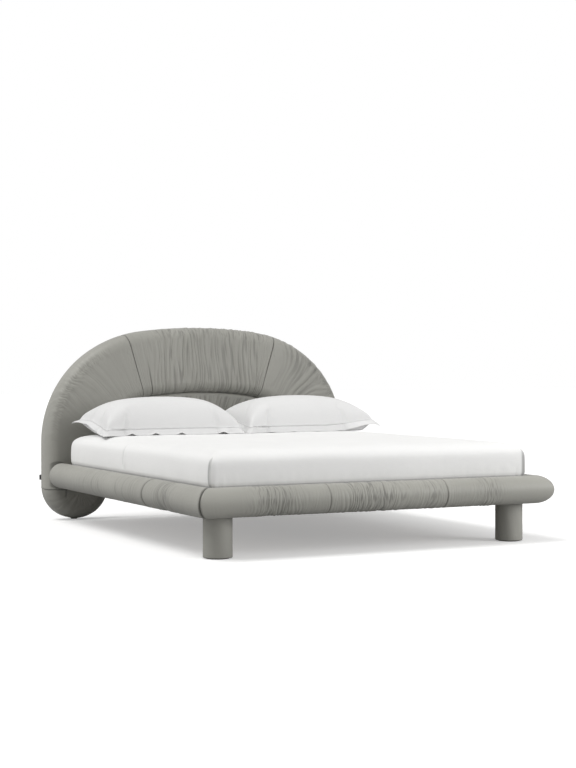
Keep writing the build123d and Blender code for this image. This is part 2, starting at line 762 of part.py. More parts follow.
with BuildPart() as hanger_screws:
    for end, wall_y, direction in hanger_ends:
        for plane in hanger_screw_planes(wall_y, direction):
            bolt(plane, ledge_screw_diameter, ledge_screw_length, ledge_screw_head, ledge_screw_head_height)
hanger_screws.part.label = "hanger_screws"
export_step(hanger_screws.part, "parts/hanger_screws.step")

# Slats, and the shoes that hold their ends
slat_inner_x = shoe_divider / 2
slat_outer_x = side_inner_x - slat_end_gap
slat_length = slat_outer_x - slat_inner_x
shoe_height = slat_top - ledge_top
shoe_width = slat_width + 2 * shoe_wall
shoe_outer_x = side_inner_x - shoe_inset
shoe_middle_x = shoe_outer_x - shoe_length / 2
beam_shoe_width = beam_width + 2 * beam_shoe_overhang


def slat_bodies(middle_x, mode):
    """A row of flat slats side by side along the bed."""
    with BuildSketch(Plane.XY.offset(slat_bottom)) as row:
        with Locations((middle_x, slat_middle_y)):
            with GridLocations(0, slat_pitch, 1, slat_count):
                Rectangle(slat_length, slat_width)
    extrude(row.sketch, amount=slat_thickness, mode=mode)


def shoe_blocks(middle_x, length):
    """A row of shoe blocks, one at each slat."""
    with BuildSketch(Plane.XY.offset(ledge_top)) as row:
        with Locations((middle_x, slat_middle_y)):
            with GridLocations(0, slat_pitch, 1, slat_count):
                Rectangle(length, shoe_width)
    extrude(row.sketch, amount=shoe_height)


for side, sign in sides:
    slat_middle_x = sign * (slat_inner_x + slat_outer_x) / 2
    with BuildPart() as slats:
        slat_bodies(slat_middle_x, Mode.ADD)
    slats.part.label = f"slats_{side}"
    export_step(slats.part, f"parts/{slats.part.label}.step")

    with BuildPart() as slat_shoes:
        shoe_blocks(sign * shoe_middle_x, shoe_length)
        slat_bodies(slat_middle_x, Mode.SUBTRACT)
    slat_shoes.part.label = f"slat_shoes_{side}"
    export_step(slat_shoes.part, f"parts/{slat_shoes.part.label}.step")

with BuildPart() as slat_shoes_center:
    shoe_blocks(0, beam_shoe_width)
    for side, sign in sides:
        slat_bodies(sign * (slat_inner_x + slat_outer_x) / 2, Mode.SUBTRACT)
slat_shoes_center.part.label = "slat_shoes_center"
export_step(slat_shoes_center.part, "parts/slat_shoes_center.step")


# Mattress, and the sheet pulled over it and tucked under its edges
mattress_middle_y = (mattress_foot_y + mattress_head_y) / 2


def mattress_body(inset):
    """The mattress's outer form, drawn in by an inset."""
    with BuildSketch(Plane.XY.offset(mattress_bottom + inset)) as plan:
        with Locations((0, mattress_middle_y)):
            RectangleRounded(mattress_width - 2 * inset, mattress_length - 2 * inset,
                             mattress_corner_radius - inset)
    extrude(plan.sketch, amount=mattress_height - 2 * inset)


with BuildPart() as mattress:
    mattress_body(sheet_thickness)
    fillet(mattress.faces().sort_by(Axis.Z)[-1].edges(), mattress_top_radius - sheet_thickness)
    fillet(mattress.faces().sort_by(Axis.Z)[0].edges(), mattress_bottom_radius - sheet_thickness)
mattress.part.label = "mattress"
export_step(mattress.part, "parts/mattress.step")

with BuildPart() as sheet:
    mattress_body(0)
    fillet(sheet.faces().sort_by(Axis.Z)[-1].edges(), mattress_top_radius)
    fillet(sheet.faces().sort_by(Axis.Z)[0].edges(), mattress_bottom_radius)
    add(mattress.part, mode=Mode.SUBTRACT)
    block((sheet_tuck - mattress_width / 2, mattress_width / 2 - sheet_tuck),
          (mattress_foot_y + sheet_tuck, mattress_head_y - sheet_tuck),
          (mattress_bottom - overrun, mattress_bottom + sheet_thickness), Mode.SUBTRACT)
sheet.part.label = "sheet"
export_step(sheet.part, "parts/sheet.step")

# Pillows: a plump filling, and a case with a flat flange at its seam
pillow_bottom = mattress_top + running_gap
pillow_top = pillow_bottom + pillow_height
pillow_seam_z = pillow_bottom + pillow_height * pillow_seam_share
pillow_x = (pillow_middle_gap + pillow_width) / 2 + flange_width
pillow_y = mattress_head_y + pillow_overhang - flange_width - pillow_depth / 2


def drawn_rectangle(width, depth):
    """A pillow's outline, with its sides drawn in between the corners."""
    x, y = width / 2, depth / 2
    draw = width * pillow_draw_share
    with BuildLine() as outline:
        ThreePointArc((-x, -y), (0, draw - y), (x, -y))
        ThreePointArc((x, -y), (x - draw, 0), (x, y))
        ThreePointArc((x, y), (0, y - draw), (-x, y))
        ThreePointArc((-x, y), (draw - x, 0), (-x, -y))
    make_face(outline.edges())


def pillow_form(x, y, inset):
    """The plump form in two lofts, up from the seam to the crown and down from it to the base."""
    width = pillow_width - 2 * inset
    depth = pillow_depth - 2 * inset
    for shares, end_z in ((pillow_crown_shares, pillow_top - inset),
                          (pillow_base_shares, pillow_bottom + inset)):
        sections = []
        for height_share, size_share in shares:
            z = pillow_seam_z + height_share * (end_z - pillow_seam_z)
            with BuildSketch(Plane(origin=(x, y, z))) as section:
                drawn_rectangle(width * size_share, depth * size_share)
            sections.append(section.sketch.face())
        loft(sections)


for side, sign in sides:
    with BuildPart() as pillow:
        pillow_form(sign * pillow_x, pillow_y, case_thickness)
    pillow.part.label = f"pillow_{side}"
    export_step(pillow.part, f"parts/{pillow.part.label}.step")

    with BuildPart() as pillowcase:
        pillow_form(sign * pillow_x, pillow_y, 0)
        with BuildSketch(Plane(origin=(sign * pillow_x, pillow_y, pillow_seam_z - flange_thickness / 2))):
            drawn_rectangle(pillow_width + 2 * flange_width, pillow_depth + 2 * flange_width)
        extrude(amount=flange_thickness)
        add(pillow.part, mode=Mode.SUBTRACT)
    pillowcase.part.label = f"pillowcase_{side}"
    export_step(pillowcase.part, f"parts/{pillowcase.part.label}.step")
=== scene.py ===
"""Dresses the upholstered bed: leather pads and rolls, bedding, and finishes for the physical frame."""

import math

import bmesh
import bpy
import numpy as np
from bpy.props import FloatProperty, FloatVectorProperty, PointerProperty
from mathutils import Euler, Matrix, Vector


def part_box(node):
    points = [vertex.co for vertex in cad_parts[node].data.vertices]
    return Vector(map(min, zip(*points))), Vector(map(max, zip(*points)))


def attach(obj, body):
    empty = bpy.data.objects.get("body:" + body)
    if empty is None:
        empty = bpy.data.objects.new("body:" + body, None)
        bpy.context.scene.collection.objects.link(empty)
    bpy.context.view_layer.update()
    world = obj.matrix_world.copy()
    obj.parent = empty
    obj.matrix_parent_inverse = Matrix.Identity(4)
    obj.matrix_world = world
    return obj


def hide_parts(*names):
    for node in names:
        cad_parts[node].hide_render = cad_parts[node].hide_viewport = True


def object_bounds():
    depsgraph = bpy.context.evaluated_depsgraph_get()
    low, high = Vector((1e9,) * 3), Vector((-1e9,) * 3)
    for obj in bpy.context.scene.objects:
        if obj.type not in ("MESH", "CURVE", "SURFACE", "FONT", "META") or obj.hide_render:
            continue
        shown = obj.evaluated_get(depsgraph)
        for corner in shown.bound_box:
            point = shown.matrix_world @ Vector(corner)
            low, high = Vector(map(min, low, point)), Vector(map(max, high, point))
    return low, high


bl_info = {
    "name": "Upholstered bed",
    "version": (1, 0, 0),
    "blender": (4, 5, 0),
    "location": "View3D > Sidebar > Bed",
    "description": "Makes the bed's leather pads, rolls, bedding, finishes and studio",
    "category": "Object",
}

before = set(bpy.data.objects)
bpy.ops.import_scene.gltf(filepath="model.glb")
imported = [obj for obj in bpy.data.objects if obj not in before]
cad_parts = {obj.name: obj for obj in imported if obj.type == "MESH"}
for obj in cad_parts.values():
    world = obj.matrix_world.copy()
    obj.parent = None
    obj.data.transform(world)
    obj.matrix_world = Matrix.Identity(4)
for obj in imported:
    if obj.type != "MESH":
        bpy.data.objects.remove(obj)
cad_low, cad_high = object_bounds()
SIDES = (("left", -1), ("right", 1))

HAIR_GAP = 0.0004

# Seams of the rolls as place and strength, and their gathered stretches as center, width and strength
SIDE_SEAMS = ((0.65, 1.0), (0.92, 0.25), (1.38, 0.3))
SIDE_GATHERS = (
    (0.39, 0.09, 1.0), (0.80, 0.05, 0.4), (1.02, 0.03, 0.5), (1.29, 0.07, 0.4), (1.50, 0.08, 0.3),
)
FOOT_SEAMS = ((-0.317, 0.6), (0.352, 0.7))
FOOT_GATHERS = (
    (-0.613, 0.11, 0.9), (-0.17, 0.06, 0.4), (-0.04, 0.14, 0.9), (0.27, 0.06, 0.45), (0.61, 0.06, 0.6),
)

# Folds and short puckers of the leather, as their spacing and how far they run
CENTER_FOLDS, CENTER_PUCKERS = (0.033, 0.40), (0.024, 0.12)
SIDE_FOLDS, SIDE_PUCKERS, SEAM_PUCKERS = (0.052, 0.5), (0.017, 0.07), (0.02, 0.05)
LOBE_FOLDS, INNER_FOLDS, ROLL_PUCKERS = (0.045, 0.3), (0.024, 0.3), (0.014, 0.05)
SIDE_ROLL_SPACING, FOOT_ROLL_SPACING = 0.036, 0.016
SIDE_ROLL_SEAM, FOOT_ROLL_SEAM = 0.0095, 0.0042

# Puckered strips of the band, as the distance from a back edge and the width, and the plain strip behind
CENTER_OUTER, CENTER_INNER = (0.125, 0.05), (0.16, 0.05)
SIDE_OUTER, SIDE_INNER = (0.15, 0.035), (0.15, 0.08)
PLAIN_STRIP = 0.06

# How strongly each side pad is pulled into folds, and between which heights a gather's creases get painted
# shade
SIDE_PULL = {"left": 0.26, "right": 0.85}
DEEP_CREASE, INNER_CREASE, SOFT_CREASE = (-0.2, -0.52), (-0.1, -0.5), (0.0, -0.5)

# The pleat beside the left seam and the dart of the round feet
PLEAT_PLACE, PLEAT_SLANT, PLEAT_WIDTH, PLEAT_DEPTH = 0.085, 0.035, 0.006, 0.004
DART_PLACE, DART_WIDTH, DART_DEPTH = 0.085, 0.005, 0.003

# Width of the painted shade line in a seam of the band, and where painted shadow darkens the leather round
# a side rail's end
SEAM_LINE = 0.0045
CONTACT_SHADOW_NEAR, CONTACT_SHADOW_BEHIND = (0.013, 0.002), (0.03, 0.01)

# The rolls' mitres: rounding, slope share, straight reach and painted shade line; and the swell beside a
# seam
MITRE_ROUND, MITRE_SLOPE, MITRE_REACH = 0.012, 0.75, 0.22
SIDE_MITRE_LINE, FOOT_MITRE_LINE = 0.012, 0.008
SEAM_SWELL, SEAM_PUCKER, SEAM_PUCKER_WIDTH = 0.0012, 0.0009, 0.022

# The drum legs' sleeves: where each seam lies, in half turns, its width and depth, and the leather's slack
LEG_SEAMS = {-1: 0.25, 1: 0.42}
LEG_SEAM_WIDTH, LEG_SEAM_DEPTH, LEG_SLACK = 0.035, 0.0022, 0.0009

# The sheet's sides: the belly, the gathers above the rail, and the hem pulled in behind the rail with its
# painted shadow
BELLY_BOTTOM, BELLY_HEIGHT, BELLY_DEPTH = 0.31, 0.17, 0.006
TUCK_RISE, TUCK_DEPTH, WANDER_DEPTH = (0.34, 0.43), 0.0040, 0.0035
HEM_RISE, HEM_DEPTH, HEM_SHADOW = (0.340, 0.362), 0.005, (0.353, 0.343)

# The pressed line of the left side with its painted shadow, and the folds at the corners
PRESSED_RISE, PRESSED_DEPTH = (0.36, 0.40), 0.005
PRESSED_RIDGE, PRESSED_GROOVE, PRESSED_SHADOW = (0.116, 0.015), (0.144, 0.012), (0.141, 0.009)
FOLD_INSET, FOLD_BOW, FOLD_BOTTOM, FOLD_HEIGHT, FOLD_DEPTH = 0.010, 0.004, 0.30, 0.19, 0.004

# Loops of the bedding: how far in the top begins to round, and the rounding of its lower edge
CROWN_REACH, BOTTOM_ROUND = 0.2, 0.014

# A pillow's cloth, how far its filling sags, and how its flange lies: lifts, degrees down and thickness
PILLOW_CLOTH = {
    "quality": 6,
    "mass": 0.25,
    "tension_stiffness": 25,
    "compression_stiffness": 2,
    "shear_stiffness": 4,
    "bending_stiffness": 3,
    "tension_damping": 12,
    "compression_damping": 12,
    "shear_damping": 12,
    "air_damping": 4,
    "use_pressure": True,
    "use_pressure_volume": True,
    "target_volume": 0.056,
    "uniform_pressure_force": 0,
    "pressure_factor": 200,
    "vertex_group_pressure": "filled",
}
PILLOW_GRAVITY = 0.3
PILLOW_SLUMP = 0.105
FLANGE_LIFTS = (-0.258, -0.112, 0.049, 0.307)
FLANGE_LIFT, FLANGE_LIFT_WIDTH = 0.016, 0.016
FLANGE_LEVEL, FLANGE_INNER, FLANGE_WANDER = 20, 25, 16
FLANGE_STEEP = {-1: 72, 1: 84}
FLANGE_THICKNESS = 0.0024
LEFT_PILLOW_SHIFT = 0.022
PILLOW_FRAMES = 30
PILLOW_SPACING = 0.0125

# Viewpoint and lights: name, where from, strength, spread, colour
CAMERA_PLACE = (-3.9536, -7.8784, 0.9226)
CAMERA_LENS = 73.81
CAMERA_SENSOR = 36.0
CAMERA_TURN = 26.99
CAMERA_DIP = 0.688
LIGHTS = (
    ("key", (-3.6, 0.3, 6.5), 1.74, 36.0, (1.0, 0.998, 0.99)),
    ("fill", (3.0, -6.5, 3.4), 0.15, 50.0, (1.0, 1.0, 1.0)),
)
# Wide windows near the bed: name, place, point faced, size and power
WINDOWS = (
    ("window_front", (4.2, -4.6, 2.0), (0.0, -1.0, 0.4), 2.5, 142.0),
    ("window_left", (-4.4, 1.0, 1.7), (-1.0, 0.6, 0.5), 2.2, 22.0),
)
WORLD_LEVEL = 0.50
FLOOR_GLOW = 0.33
FLOOR_BOUNCE = 0.38
FLOOR_SHADE = 0.8


# Sizes and colours that a user would change
def length_setting(name, description, default):
    """A length that the sidebar shows in metres."""
    return FloatProperty(name=name, description=description, default=default, unit="LENGTH", precision=4)


def angle_setting(name, description, degrees):
    """An angle that the sidebar shows in degrees."""
    return FloatProperty(name=name, description=description, default=math.radians(degrees), unit="ROTATION")


def color_setting(name, description, color):
    """A colour with a swatch in the sidebar."""
    return FloatVectorProperty(
        name=name, description=description, default=color, subtype="COLOR", size=3, min=0, max=1
    )


class BedHeadboardSizes(bpy.types.PropertyGroup):
    band_width: length_setting("Band width", "Width of the horseshoe band", 0.4)
    haunch_radius: length_setting("Haunch radius", "Radius beside the crown", 0.79)
    shoulder_radius: length_setting("Shoulder radius", "Radius down to the plumb sides", 0.655)
    crown_angle: angle_setting("Crown angle", "Where the crown's arc ends, from plumb", 7.5)
    haunch_angle: angle_setting("Haunch angle", "Where the haunch's arc ends, from plumb", 33.5)
    seam_angle: angle_setting("Seam angle", "Slant of the band's two seams, from plumb", 16.5)
    front_round: length_setting("Front round", "Rounding of the band's front edges", 0.07)
    back_round: length_setting("Back round", "Rounding of the band's back edges", 0.01)
    seam_round: length_setting("Seam round", "Rounding where two pads are sewn", 0.005)
    gather_depth: length_setting("Gather depth", "Depth of the gathered leather", 0.0080)


class BedRailSizes(bpy.types.PropertyGroup):
    roll_radius: length_setting("Roll radius", "Radius of the padded rolls", 0.073)
    gather_depth: length_setting("Gather depth", "Depth of the gathered leather", 0.0056)
    seam_depth: length_setting("Seam depth", "Depth of the seams round the rolls", 0.0045)


class BedBeddingSizes(bpy.types.PropertyGroup):
    sheet_thickness: length_setting("Sheet thickness", "Thickness of the sheet", 0.0015)
    sheet_tuck: length_setting("Sheet tuck", "Width tucked under the mattress", 0.11)
    corner_radius: length_setting("Corner radius", "Rounding of the mattress's corners", 0.022)
    crown_drop: length_setting("Crown drop", "How far the top rounds down at its edge", 0.075)
    pillow_width: length_setting("Pillow width", "Cut width of a pillow", 0.88)
    pillow_depth: length_setting("Pillow depth", "Cut depth of a pillow", 0.50)
    flange_width: length_setting("Flange width", "Width of the pillowcase's flange", 0.045)


class BedColors(bpy.types.PropertyGroup):
    leather: color_setting("Leather", "Body colour of the leather", (0.334, 0.330, 0.300))
    sheet: color_setting("Sheet", "Colour of the sheet", (0.85, 0.85, 0.845))
    pillowcase: color_setting("Pillowcase", "Colour of the pillowcases", (0.745, 0.745, 0.745))
    ticking: color_setting("Ticking", "Colour of the mattress's cover", (0.74, 0.72, 0.66))
    plywood: color_setting("Plywood", "Colour of the boards", (0.50, 0.36, 0.22))
    slat: color_setting("Slat wood", "Colour of the slats", (0.62, 0.46, 0.28))
    lining: color_setting("Back lining", "Colour of the cloth on the back", (0.035, 0.035, 0.037))
    steel: color_setting("Black steel", "Powder coat of the steel frame", (0.025, 0.025, 0.027))


# Patterns on arrays of places
def ripple(seed, along, across):
    """Smooth noise between about -1 and 1."""
    pick = np.random.default_rng(seed)
    order = pick.permutation(256)
    turns = pick.uniform(0, math.tau, 256)
    cell_a, cell_b = np.floor(along).astype(int), np.floor(across).astype(int)
    a, b = along - cell_a, across - cell_b

    def corner(da, db):
        turn = turns[order[(order[(cell_a + da) & 255] + cell_b + db) & 255]]
        return np.cos(turn) * (a - da) + np.sin(turn) * (b - db)

    ease_a, ease_b = a**3 * (a * (a * 6 - 15) + 10), b**3 * (b * (b * 6 - 15) + 10)
    near = corner(0, 0) * (1 - ease_a) + corner(1, 0) * ease_a
    far = corner(0, 1) * (1 - ease_a) + corner(1, 1) * ease_a
    return 1.5 * (near * (1 - ease_b) + far * ease_b)


def puffs(seed, along, across):
    """Soft swells parted by narrow creases, about 0 at the creases and 1 on the swells."""
    return np.sqrt(ripple(seed, along, across) ** 2 * 2.2 + 0.006) - 0.07


def gathers(seed, along, across, spacing, reach):
    """Height of gathered leather whose creases run across, as a share of its depth."""
    drift = 1.1 * ripple(seed + 7, along / (5 * spacing), across / (0.8 * reach))
    wide = puffs(seed, along / spacing + drift, across / reach)
    fine = puffs(seed + 1, along * 2.3 / spacing + 2 * drift, across * 1.5 / reach + 40)
    return 0.72 * wide + 0.34 * fine - 0.55


def step(low, high, value):
    """Eases from 0 at low to 1 at high."""
    share = np.clip((value - low) / (high - low), 0, 1)
    return share * share * (3 - 2 * share)


def hump(center, width, value):
    """A smooth bell round the center."""
    return np.exp(-(((value - center) / width) ** 2))


def stations(start, end, pitch, fine_places=(), fine_reach=0.008, fine_pitch=0.0013):
    """Places along a piece, closer together near the places named."""
    places = list(np.linspace(start, end, max(2, int(round(abs(end - start) / pitch)) + 1)))
    low, high = min(start, end), max(start, end)
    for place in fine_places:
        count = int(round(fine_reach / fine_pitch))
        near = [place + fine_pitch * k for k in range(-count, count + 1)]
        near = [p for p in near if low <= p <= high]
        places = [p for p in places if p in (start, end) or abs(p - place) > fine_reach + 0.4 * pitch]
        places += [p for p in near if min(abs(p - start), abs(p - end)) > HAIR_GAP]
    ordered = sorted(set(round(p, 6) for p in places), reverse=end < start)
    return np.array(ordered)


def crowded(length, edge, margin, count):
    """Places from 0 to the length, crowded towards both ends."""
    edge = np.array(edge)
    return np.concatenate([edge, np.linspace(margin, length - margin, count), length - edge[::-1]])


# Making pieces
def add_object(name, data):
    """Puts an object with the data given into the scene."""
    thing = bpy.data.objects.new(name, data)
    bpy.context.scene.collection.objects.link(thing)
    return thing


def add_piece(name, points, faces):
    """A piece from its points and faces."""
    mesh = bpy.data.meshes.new(name)
    mesh.from_pydata(np.asarray(points).tolist(), [], faces)
    mesh.update()
    return add_object(name, mesh)


def shell_mesh(name, loops, caps=(True, True)):
    """A piece from closed loops of points, each joined to the next; ends are closed by a face."""
    rows, count = loops.shape[:2]
    corner = np.arange(rows * count).reshape(rows, count)
    following = np.roll(corner, -1, axis=1)
    quads = np.stack([corner[:-1], following[:-1], following[1:], corner[1:]], axis=-1).reshape(-1, 4)
    faces = quads.tolist()
    if caps[0]:
        faces.append(corner[0][::-1].tolist())
    if caps[1]:
        faces.append(corner[-1].tolist())
    return add_piece(name, loops.reshape(-1, 3), faces)


def tidy(piece, outward=True):
    """Merges doubled points and, on a closed piece, turns its faces outwards."""
    work = bmesh.new()
    work.from_mesh(piece.data)
    bmesh.ops.remove_doubles(work, verts=work.verts, dist=0.00002)
    bmesh.ops.dissolve_degenerate(work, edges=work.edges, dist=0.000005)
    if outward:
        bmesh.ops.recalc_face_normals(work, faces=work.faces)
    work.to_mesh(piece.data)
    work.free()
    piece.data.shade_smooth()


def set_value(piece, name, values):
    """Stores one number per point for the piece's material."""
    attribute = piece.data.attributes.new(name, "FLOAT", "POINT")
    attribute.data.foreach_set("value", np.asarray(values, np.float32).ravel())


def dress(piece, slot, body, *nodes):
    """Gives a piece its finish and body, and hides the CAD nodes that it stands for."""
    piece.data.materials.clear()
    piece.data.materials.append(finish(slot))
    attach(piece, body)
    if nodes:
        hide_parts(*nodes)


def apply_modifiers(piece):
    """Applies all of a piece's modifiers in order."""
    bpy.ops.object.select_all(action="DESELECT")
    piece.select_set(True)
    bpy.context.view_layer.objects.active = piece
    for modifier in list(piece.modifiers):
        bpy.ops.object.modifier_apply(modifier=modifier.name)


# The headboard's outline
class Outline:
    """The band's outer line, by its length from the top of the crown, and its seams."""

    def __init__(self, sizes):
        self.sizes = sizes
        self.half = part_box("arch_pad_right")[1].x
        self.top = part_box("arch_pad_center")[1].z
        crown, haunch = sizes.crown_angle, sizes.haunch_angle
        rise = self.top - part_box("lobe_pad_left")[1].z
        run = self.half - sizes.haunch_radius * math.sin(haunch)
        run -= sizes.shoulder_radius * (1 - math.sin(haunch))
        self.crown_radius = sizes.haunch_radius + run / math.sin(crown)
        self.crown_center = self.top - self.crown_radius
        gap = self.crown_radius - sizes.haunch_radius
        self.haunch_center = (gap * math.sin(crown), self.crown_center + gap * math.cos(crown))
        gap = sizes.haunch_radius - sizes.shoulder_radius
        self.shoulder_center = (
            self.haunch_center[0] + gap * math.sin(haunch),
            self.haunch_center[1] + gap * math.cos(haunch),
        )
        self.crown_end = self.crown_radius * crown
        self.haunch_end = self.crown_end + sizes.haunch_radius * (haunch - crown)
        self.shoulder_end = self.haunch_end + sizes.shoulder_radius * (math.pi / 2 - haunch)
        self.seam = self.crown_end + sizes.haunch_radius * (sizes.seam_angle - crown)
        self.end = self.shoulder_end + self.shoulder_center[1] - (self.top - rise)

    def by_arc(self, run, crown, haunch, shoulder):
        """Picks one of three values by the arc that each length lies on."""
        return np.where(run < self.crown_end, crown, np.where(run < self.haunch_end, haunch, shoulder))

    def places(self, distance):
        """Outer points and the directions into the band, for lengths along the line."""
        side = np.where(distance < 0, -1.0, 1.0)
        run = np.abs(distance)
        sizes = self.sizes
        on_haunch = sizes.crown_angle + (run - self.crown_end) / sizes.haunch_radius
        on_shoulder = sizes.haunch_angle + (run - self.haunch_end) / sizes.shoulder_radius
        angle = self.by_arc(run, run / self.crown_radius, on_haunch, on_shoulder)
        angle = np.minimum(angle, math.pi / 2)
        center_x = self.by_arc(run, 0, self.haunch_center[0], self.shoulder_center[0])
        center_z = self.by_arc(run, self.crown_center, self.haunch_center[1], self.shoulder_center[1])
        radius = self.by_arc(run, self.crown_radius, sizes.haunch_radius, sizes.shoulder_radius)
        drop = np.maximum(run - self.shoulder_end, 0)
        outer = np.stack(
            [side * (center_x + radius * np.sin(angle)), center_z + radius * np.cos(angle) - drop], -1
        )
        inward = np.stack([-side * np.sin(angle), -np.cos(angle)], -1)
        return outer, inward


def arc_points(center, radius, start, end, count):
    """Points round part of a circle, with the directions out of it."""
    angle = np.linspace(start, end, count)
    away = np.stack([np.cos(angle), np.sin(angle)], -1)
    return np.array(center) + radius * away, away


def board_inset():
    """How far the headboard's board lies inside the band's outer edge."""
    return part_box("arch_pad_right")[1].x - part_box("headboard_board")[1].x


def band_section(sizes):
    """The band's section: inset from the outer edge and depth, outward directions and unrolled length."""
    width = sizes.band_width
    front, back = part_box("arch_pad_center")[0].y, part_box("arch_pad_center")[1].y
    round_front, round_back = sizes.front_round, sizes.back_round
    behind, ahead = back - round_back, front + round_front
    side = np.linspace(behind, ahead, 9)[1:-1]
    face = np.linspace(round_front, width - round_front, 54)[1:-1]
    pieces = [
        arc_points((round_back, behind), round_back, math.pi / 2, math.pi, 5),
        (np.stack([0 * side, side], -1), np.tile([-1.0, 0.0], (len(side), 1))),
        arc_points((round_front, ahead), round_front, math.pi, 1.5 * math.pi, 22),
        (np.stack([face, 0 * face + front], -1), np.tile([0.0, -1.0], (len(face), 1))),
        arc_points((width - round_front, ahead), round_front, 1.5 * math.pi, math.tau, 22),
        (np.stack([0 * side + width, side[::-1]], -1), np.tile([1.0, 0.0], (len(side), 1))),
        arc_points((width - round_back, behind), round_back, 0, math.pi / 2, 5),
    ]
    points = np.concatenate([p for p, _ in pieces])
    away = np.concatenate([a for _, a in pieces])
    spans = np.linalg.norm(np.diff(points, axis=0), axis=1)
    unrolled = np.concatenate([[0, 0, 0], np.cumsum(spans)])
    rim = board_inset() - HAIR_GAP
    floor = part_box("headboard_board")[0].y - HAIR_GAP
    start, end = [[rim, floor], [rim, back]], [[width - rim, back], [width - rim, floor]]
    points = np.concatenate([start, points, end])
    away = np.concatenate([[[0, 0], [0, 1]], away, [[0, 1], [0, 0]]])
    return points, away, np.concatenate([unrolled, 2 * [unrolled[-1]]])


def seam_inset(distance, radius):
    """How far a sewn edge draws in at a distance from its seam."""
    near = np.clip(radius - distance, 0, radius)
    return radius - np.sqrt(np.maximum(radius**2 - near**2, 0))


def rail_contact_shadow(x, y, z):
    """Paints shadow on the leather round the places where the side rails meet the headboard."""
    low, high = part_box("side_roll_right")
    radius = (high.z - low.z) / 2
    gap = np.hypot(np.abs(x) - (high.x - radius), z - (low.z + radius)) - radius
    return 0.85 * step(*CONTACT_SHADOW_NEAR, gap) * step(*CONTACT_SHADOW_BEHIND, y - high.y)


def stop_at_board(depth, inner, z, front_round):
    """Ends the band's inner wall at the board where the board and the back panel run on behind it."""
    front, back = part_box("arch_pad_center")[0].y + front_round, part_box("arch_pad_center")[1].y
    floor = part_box("headboard_board")[0].y - HAIR_GAP
    behind = inner & (depth > front) & (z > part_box("inner_pad")[0].z + board_inset())
    return np.where(behind, front + (depth - front) * (floor - front) / (back - front), depth)


def band_pad(name, outline, seams, relief):
    """One pad of the band, sewn at the two seams named by their places along the outline."""
    sizes = outline.sizes
    points, away, unrolled = band_section(sizes)
    along = stations(*seams, 0.0032, seams)
    outer, inward = outline.places(along)
    run, reach = along[:, None], unrolled[None, :]
    lift, mark = relief(run + 0 * reach, reach + 0 * run)
    for seam in seams:
        lift = lift - seam_inset(np.abs(run - seam), sizes.seam_round)
        # Painted shade along each seam, besides the sewn edge drawing in
        mark = mark + 0.75 * hump(seam, SEAM_LINE, run)
    flat = points[None, :, 0] + lift * away[None, :, 0]
    depth = points[None, :, 1] + lift * away[None, :, 1]
    place = outer[:, None, :] + flat[..., None] * inward[:, None, :]
    depth = stop_at_board(depth, flat > sizes.band_width / 2, place[..., 1], sizes.front_round)
    loops = np.stack([place[..., 0], depth, place[..., 1]], -1)
    piece = shell_mesh(name, loops)
    # The pad's painted shade: its creases and seams, and the shadow round the side rails
    set_value(piece, "crease_shade", np.maximum(mark, rail_contact_shadow(place[..., 0], depth, place[..., 1])))
    tidy(piece)
    return piece


def edge_fade(reach, total):
    """Fades a relief out towards the back edges of a section."""
    return step(0.0, PLAIN_STRIP, reach) * step(0.0, PLAIN_STRIP, total - reach)


def center_relief(sizes, seam):
    """Strongly gathered leather of the middle pad."""

    def relief(run, reach):
        total = reach.max()
        fade = edge_fade(reach, total)
        near_left = 0.25 + 0.75 * step(0.10, 0.26, seam + run)
        near_right = 0.55 + 0.45 * step(0.0, 0.09, seam - run)
        uneven = 0.65 + 0.35 * step(-0.9, 0.5, ripple(3, run / 0.19, reach / 0.45))
        gathered = fade * near_left * near_right * uneven
        folds = gathers(11, run, reach, *CENTER_FOLDS)
        short = gathers(29, run, reach, *CENTER_PUCKERS)
        outer_edge = hump(*CENTER_OUTER, reach)
        inner_edge = hump(*CENTER_INNER, total - reach)
        pleat_line = -seam + PLEAT_PLACE + PLEAT_SLANT * (reach / total)
        pleat = hump(0, PLEAT_WIDTH, run - pleat_line) * step(0.24, 0.44, reach)
        puckered = 0.7 * (outer_edge + 0.4 * inner_edge) * short
        lift = sizes.gather_depth * gathered * (folds + puckered) - PLEAT_DEPTH * pleat * fade
        # Painted shade in the pleat and in the creases of the gathers and puckers
        mark = 0.9 * pleat + 0.62 * gathered * step(*DEEP_CREASE, folds)
        return lift, mark + 0.5 * outer_edge * gathered * step(*DEEP_CREASE, short)

    return relief


def side_relief(sizes, outline, seed, pulled):
    """Smoother leather of the side pads: long folds across, and short puckers round the shoulder."""

    def relief(run, reach):
        total = reach.max()
        fade = edge_fade(reach, total)
        travel = np.abs(run)
        shoulder = step(-0.20, 0.1, travel - outline.haunch_end)
        shoulder = shoulder * (1 - step(-0.25, 0.05, travel - outline.shoulder_end))
        drift = 0.12 * ripple(seed + 9, travel / 0.4, reach / 0.3)
        folds = gathers(seed, run + drift, reach, *SIDE_FOLDS)
        short = gathers(seed + 5, run, reach, *SIDE_PUCKERS)
        by_seam = hump(outline.seam, 0.05, travel) * gathers(seed + 12, run, reach, *SEAM_PUCKERS)
        uneven = pulled * (0.4 + 0.6 * step(-0.4, 0.6, ripple(seed + 11, run / 0.25, reach / 0.3)))
        outer_edge = hump(*SIDE_OUTER, reach) * (0.15 + shoulder)
        inner_edge = hump(*SIDE_INNER, total - reach) * (0.35 + 0.5 * shoulder)
        height = uneven * folds + 0.36 * (outer_edge + inner_edge) * short + 0.2 * by_seam
        # Painted shade in the creases of the folds and the shoulder's puckers
        mark = 0.7 * uneven * step(*SOFT_CREASE, folds) + 0.35 * outer_edge * step(*SOFT_CREASE, short)
        return sizes.gather_depth * fade * height, fade * mark

    return relief


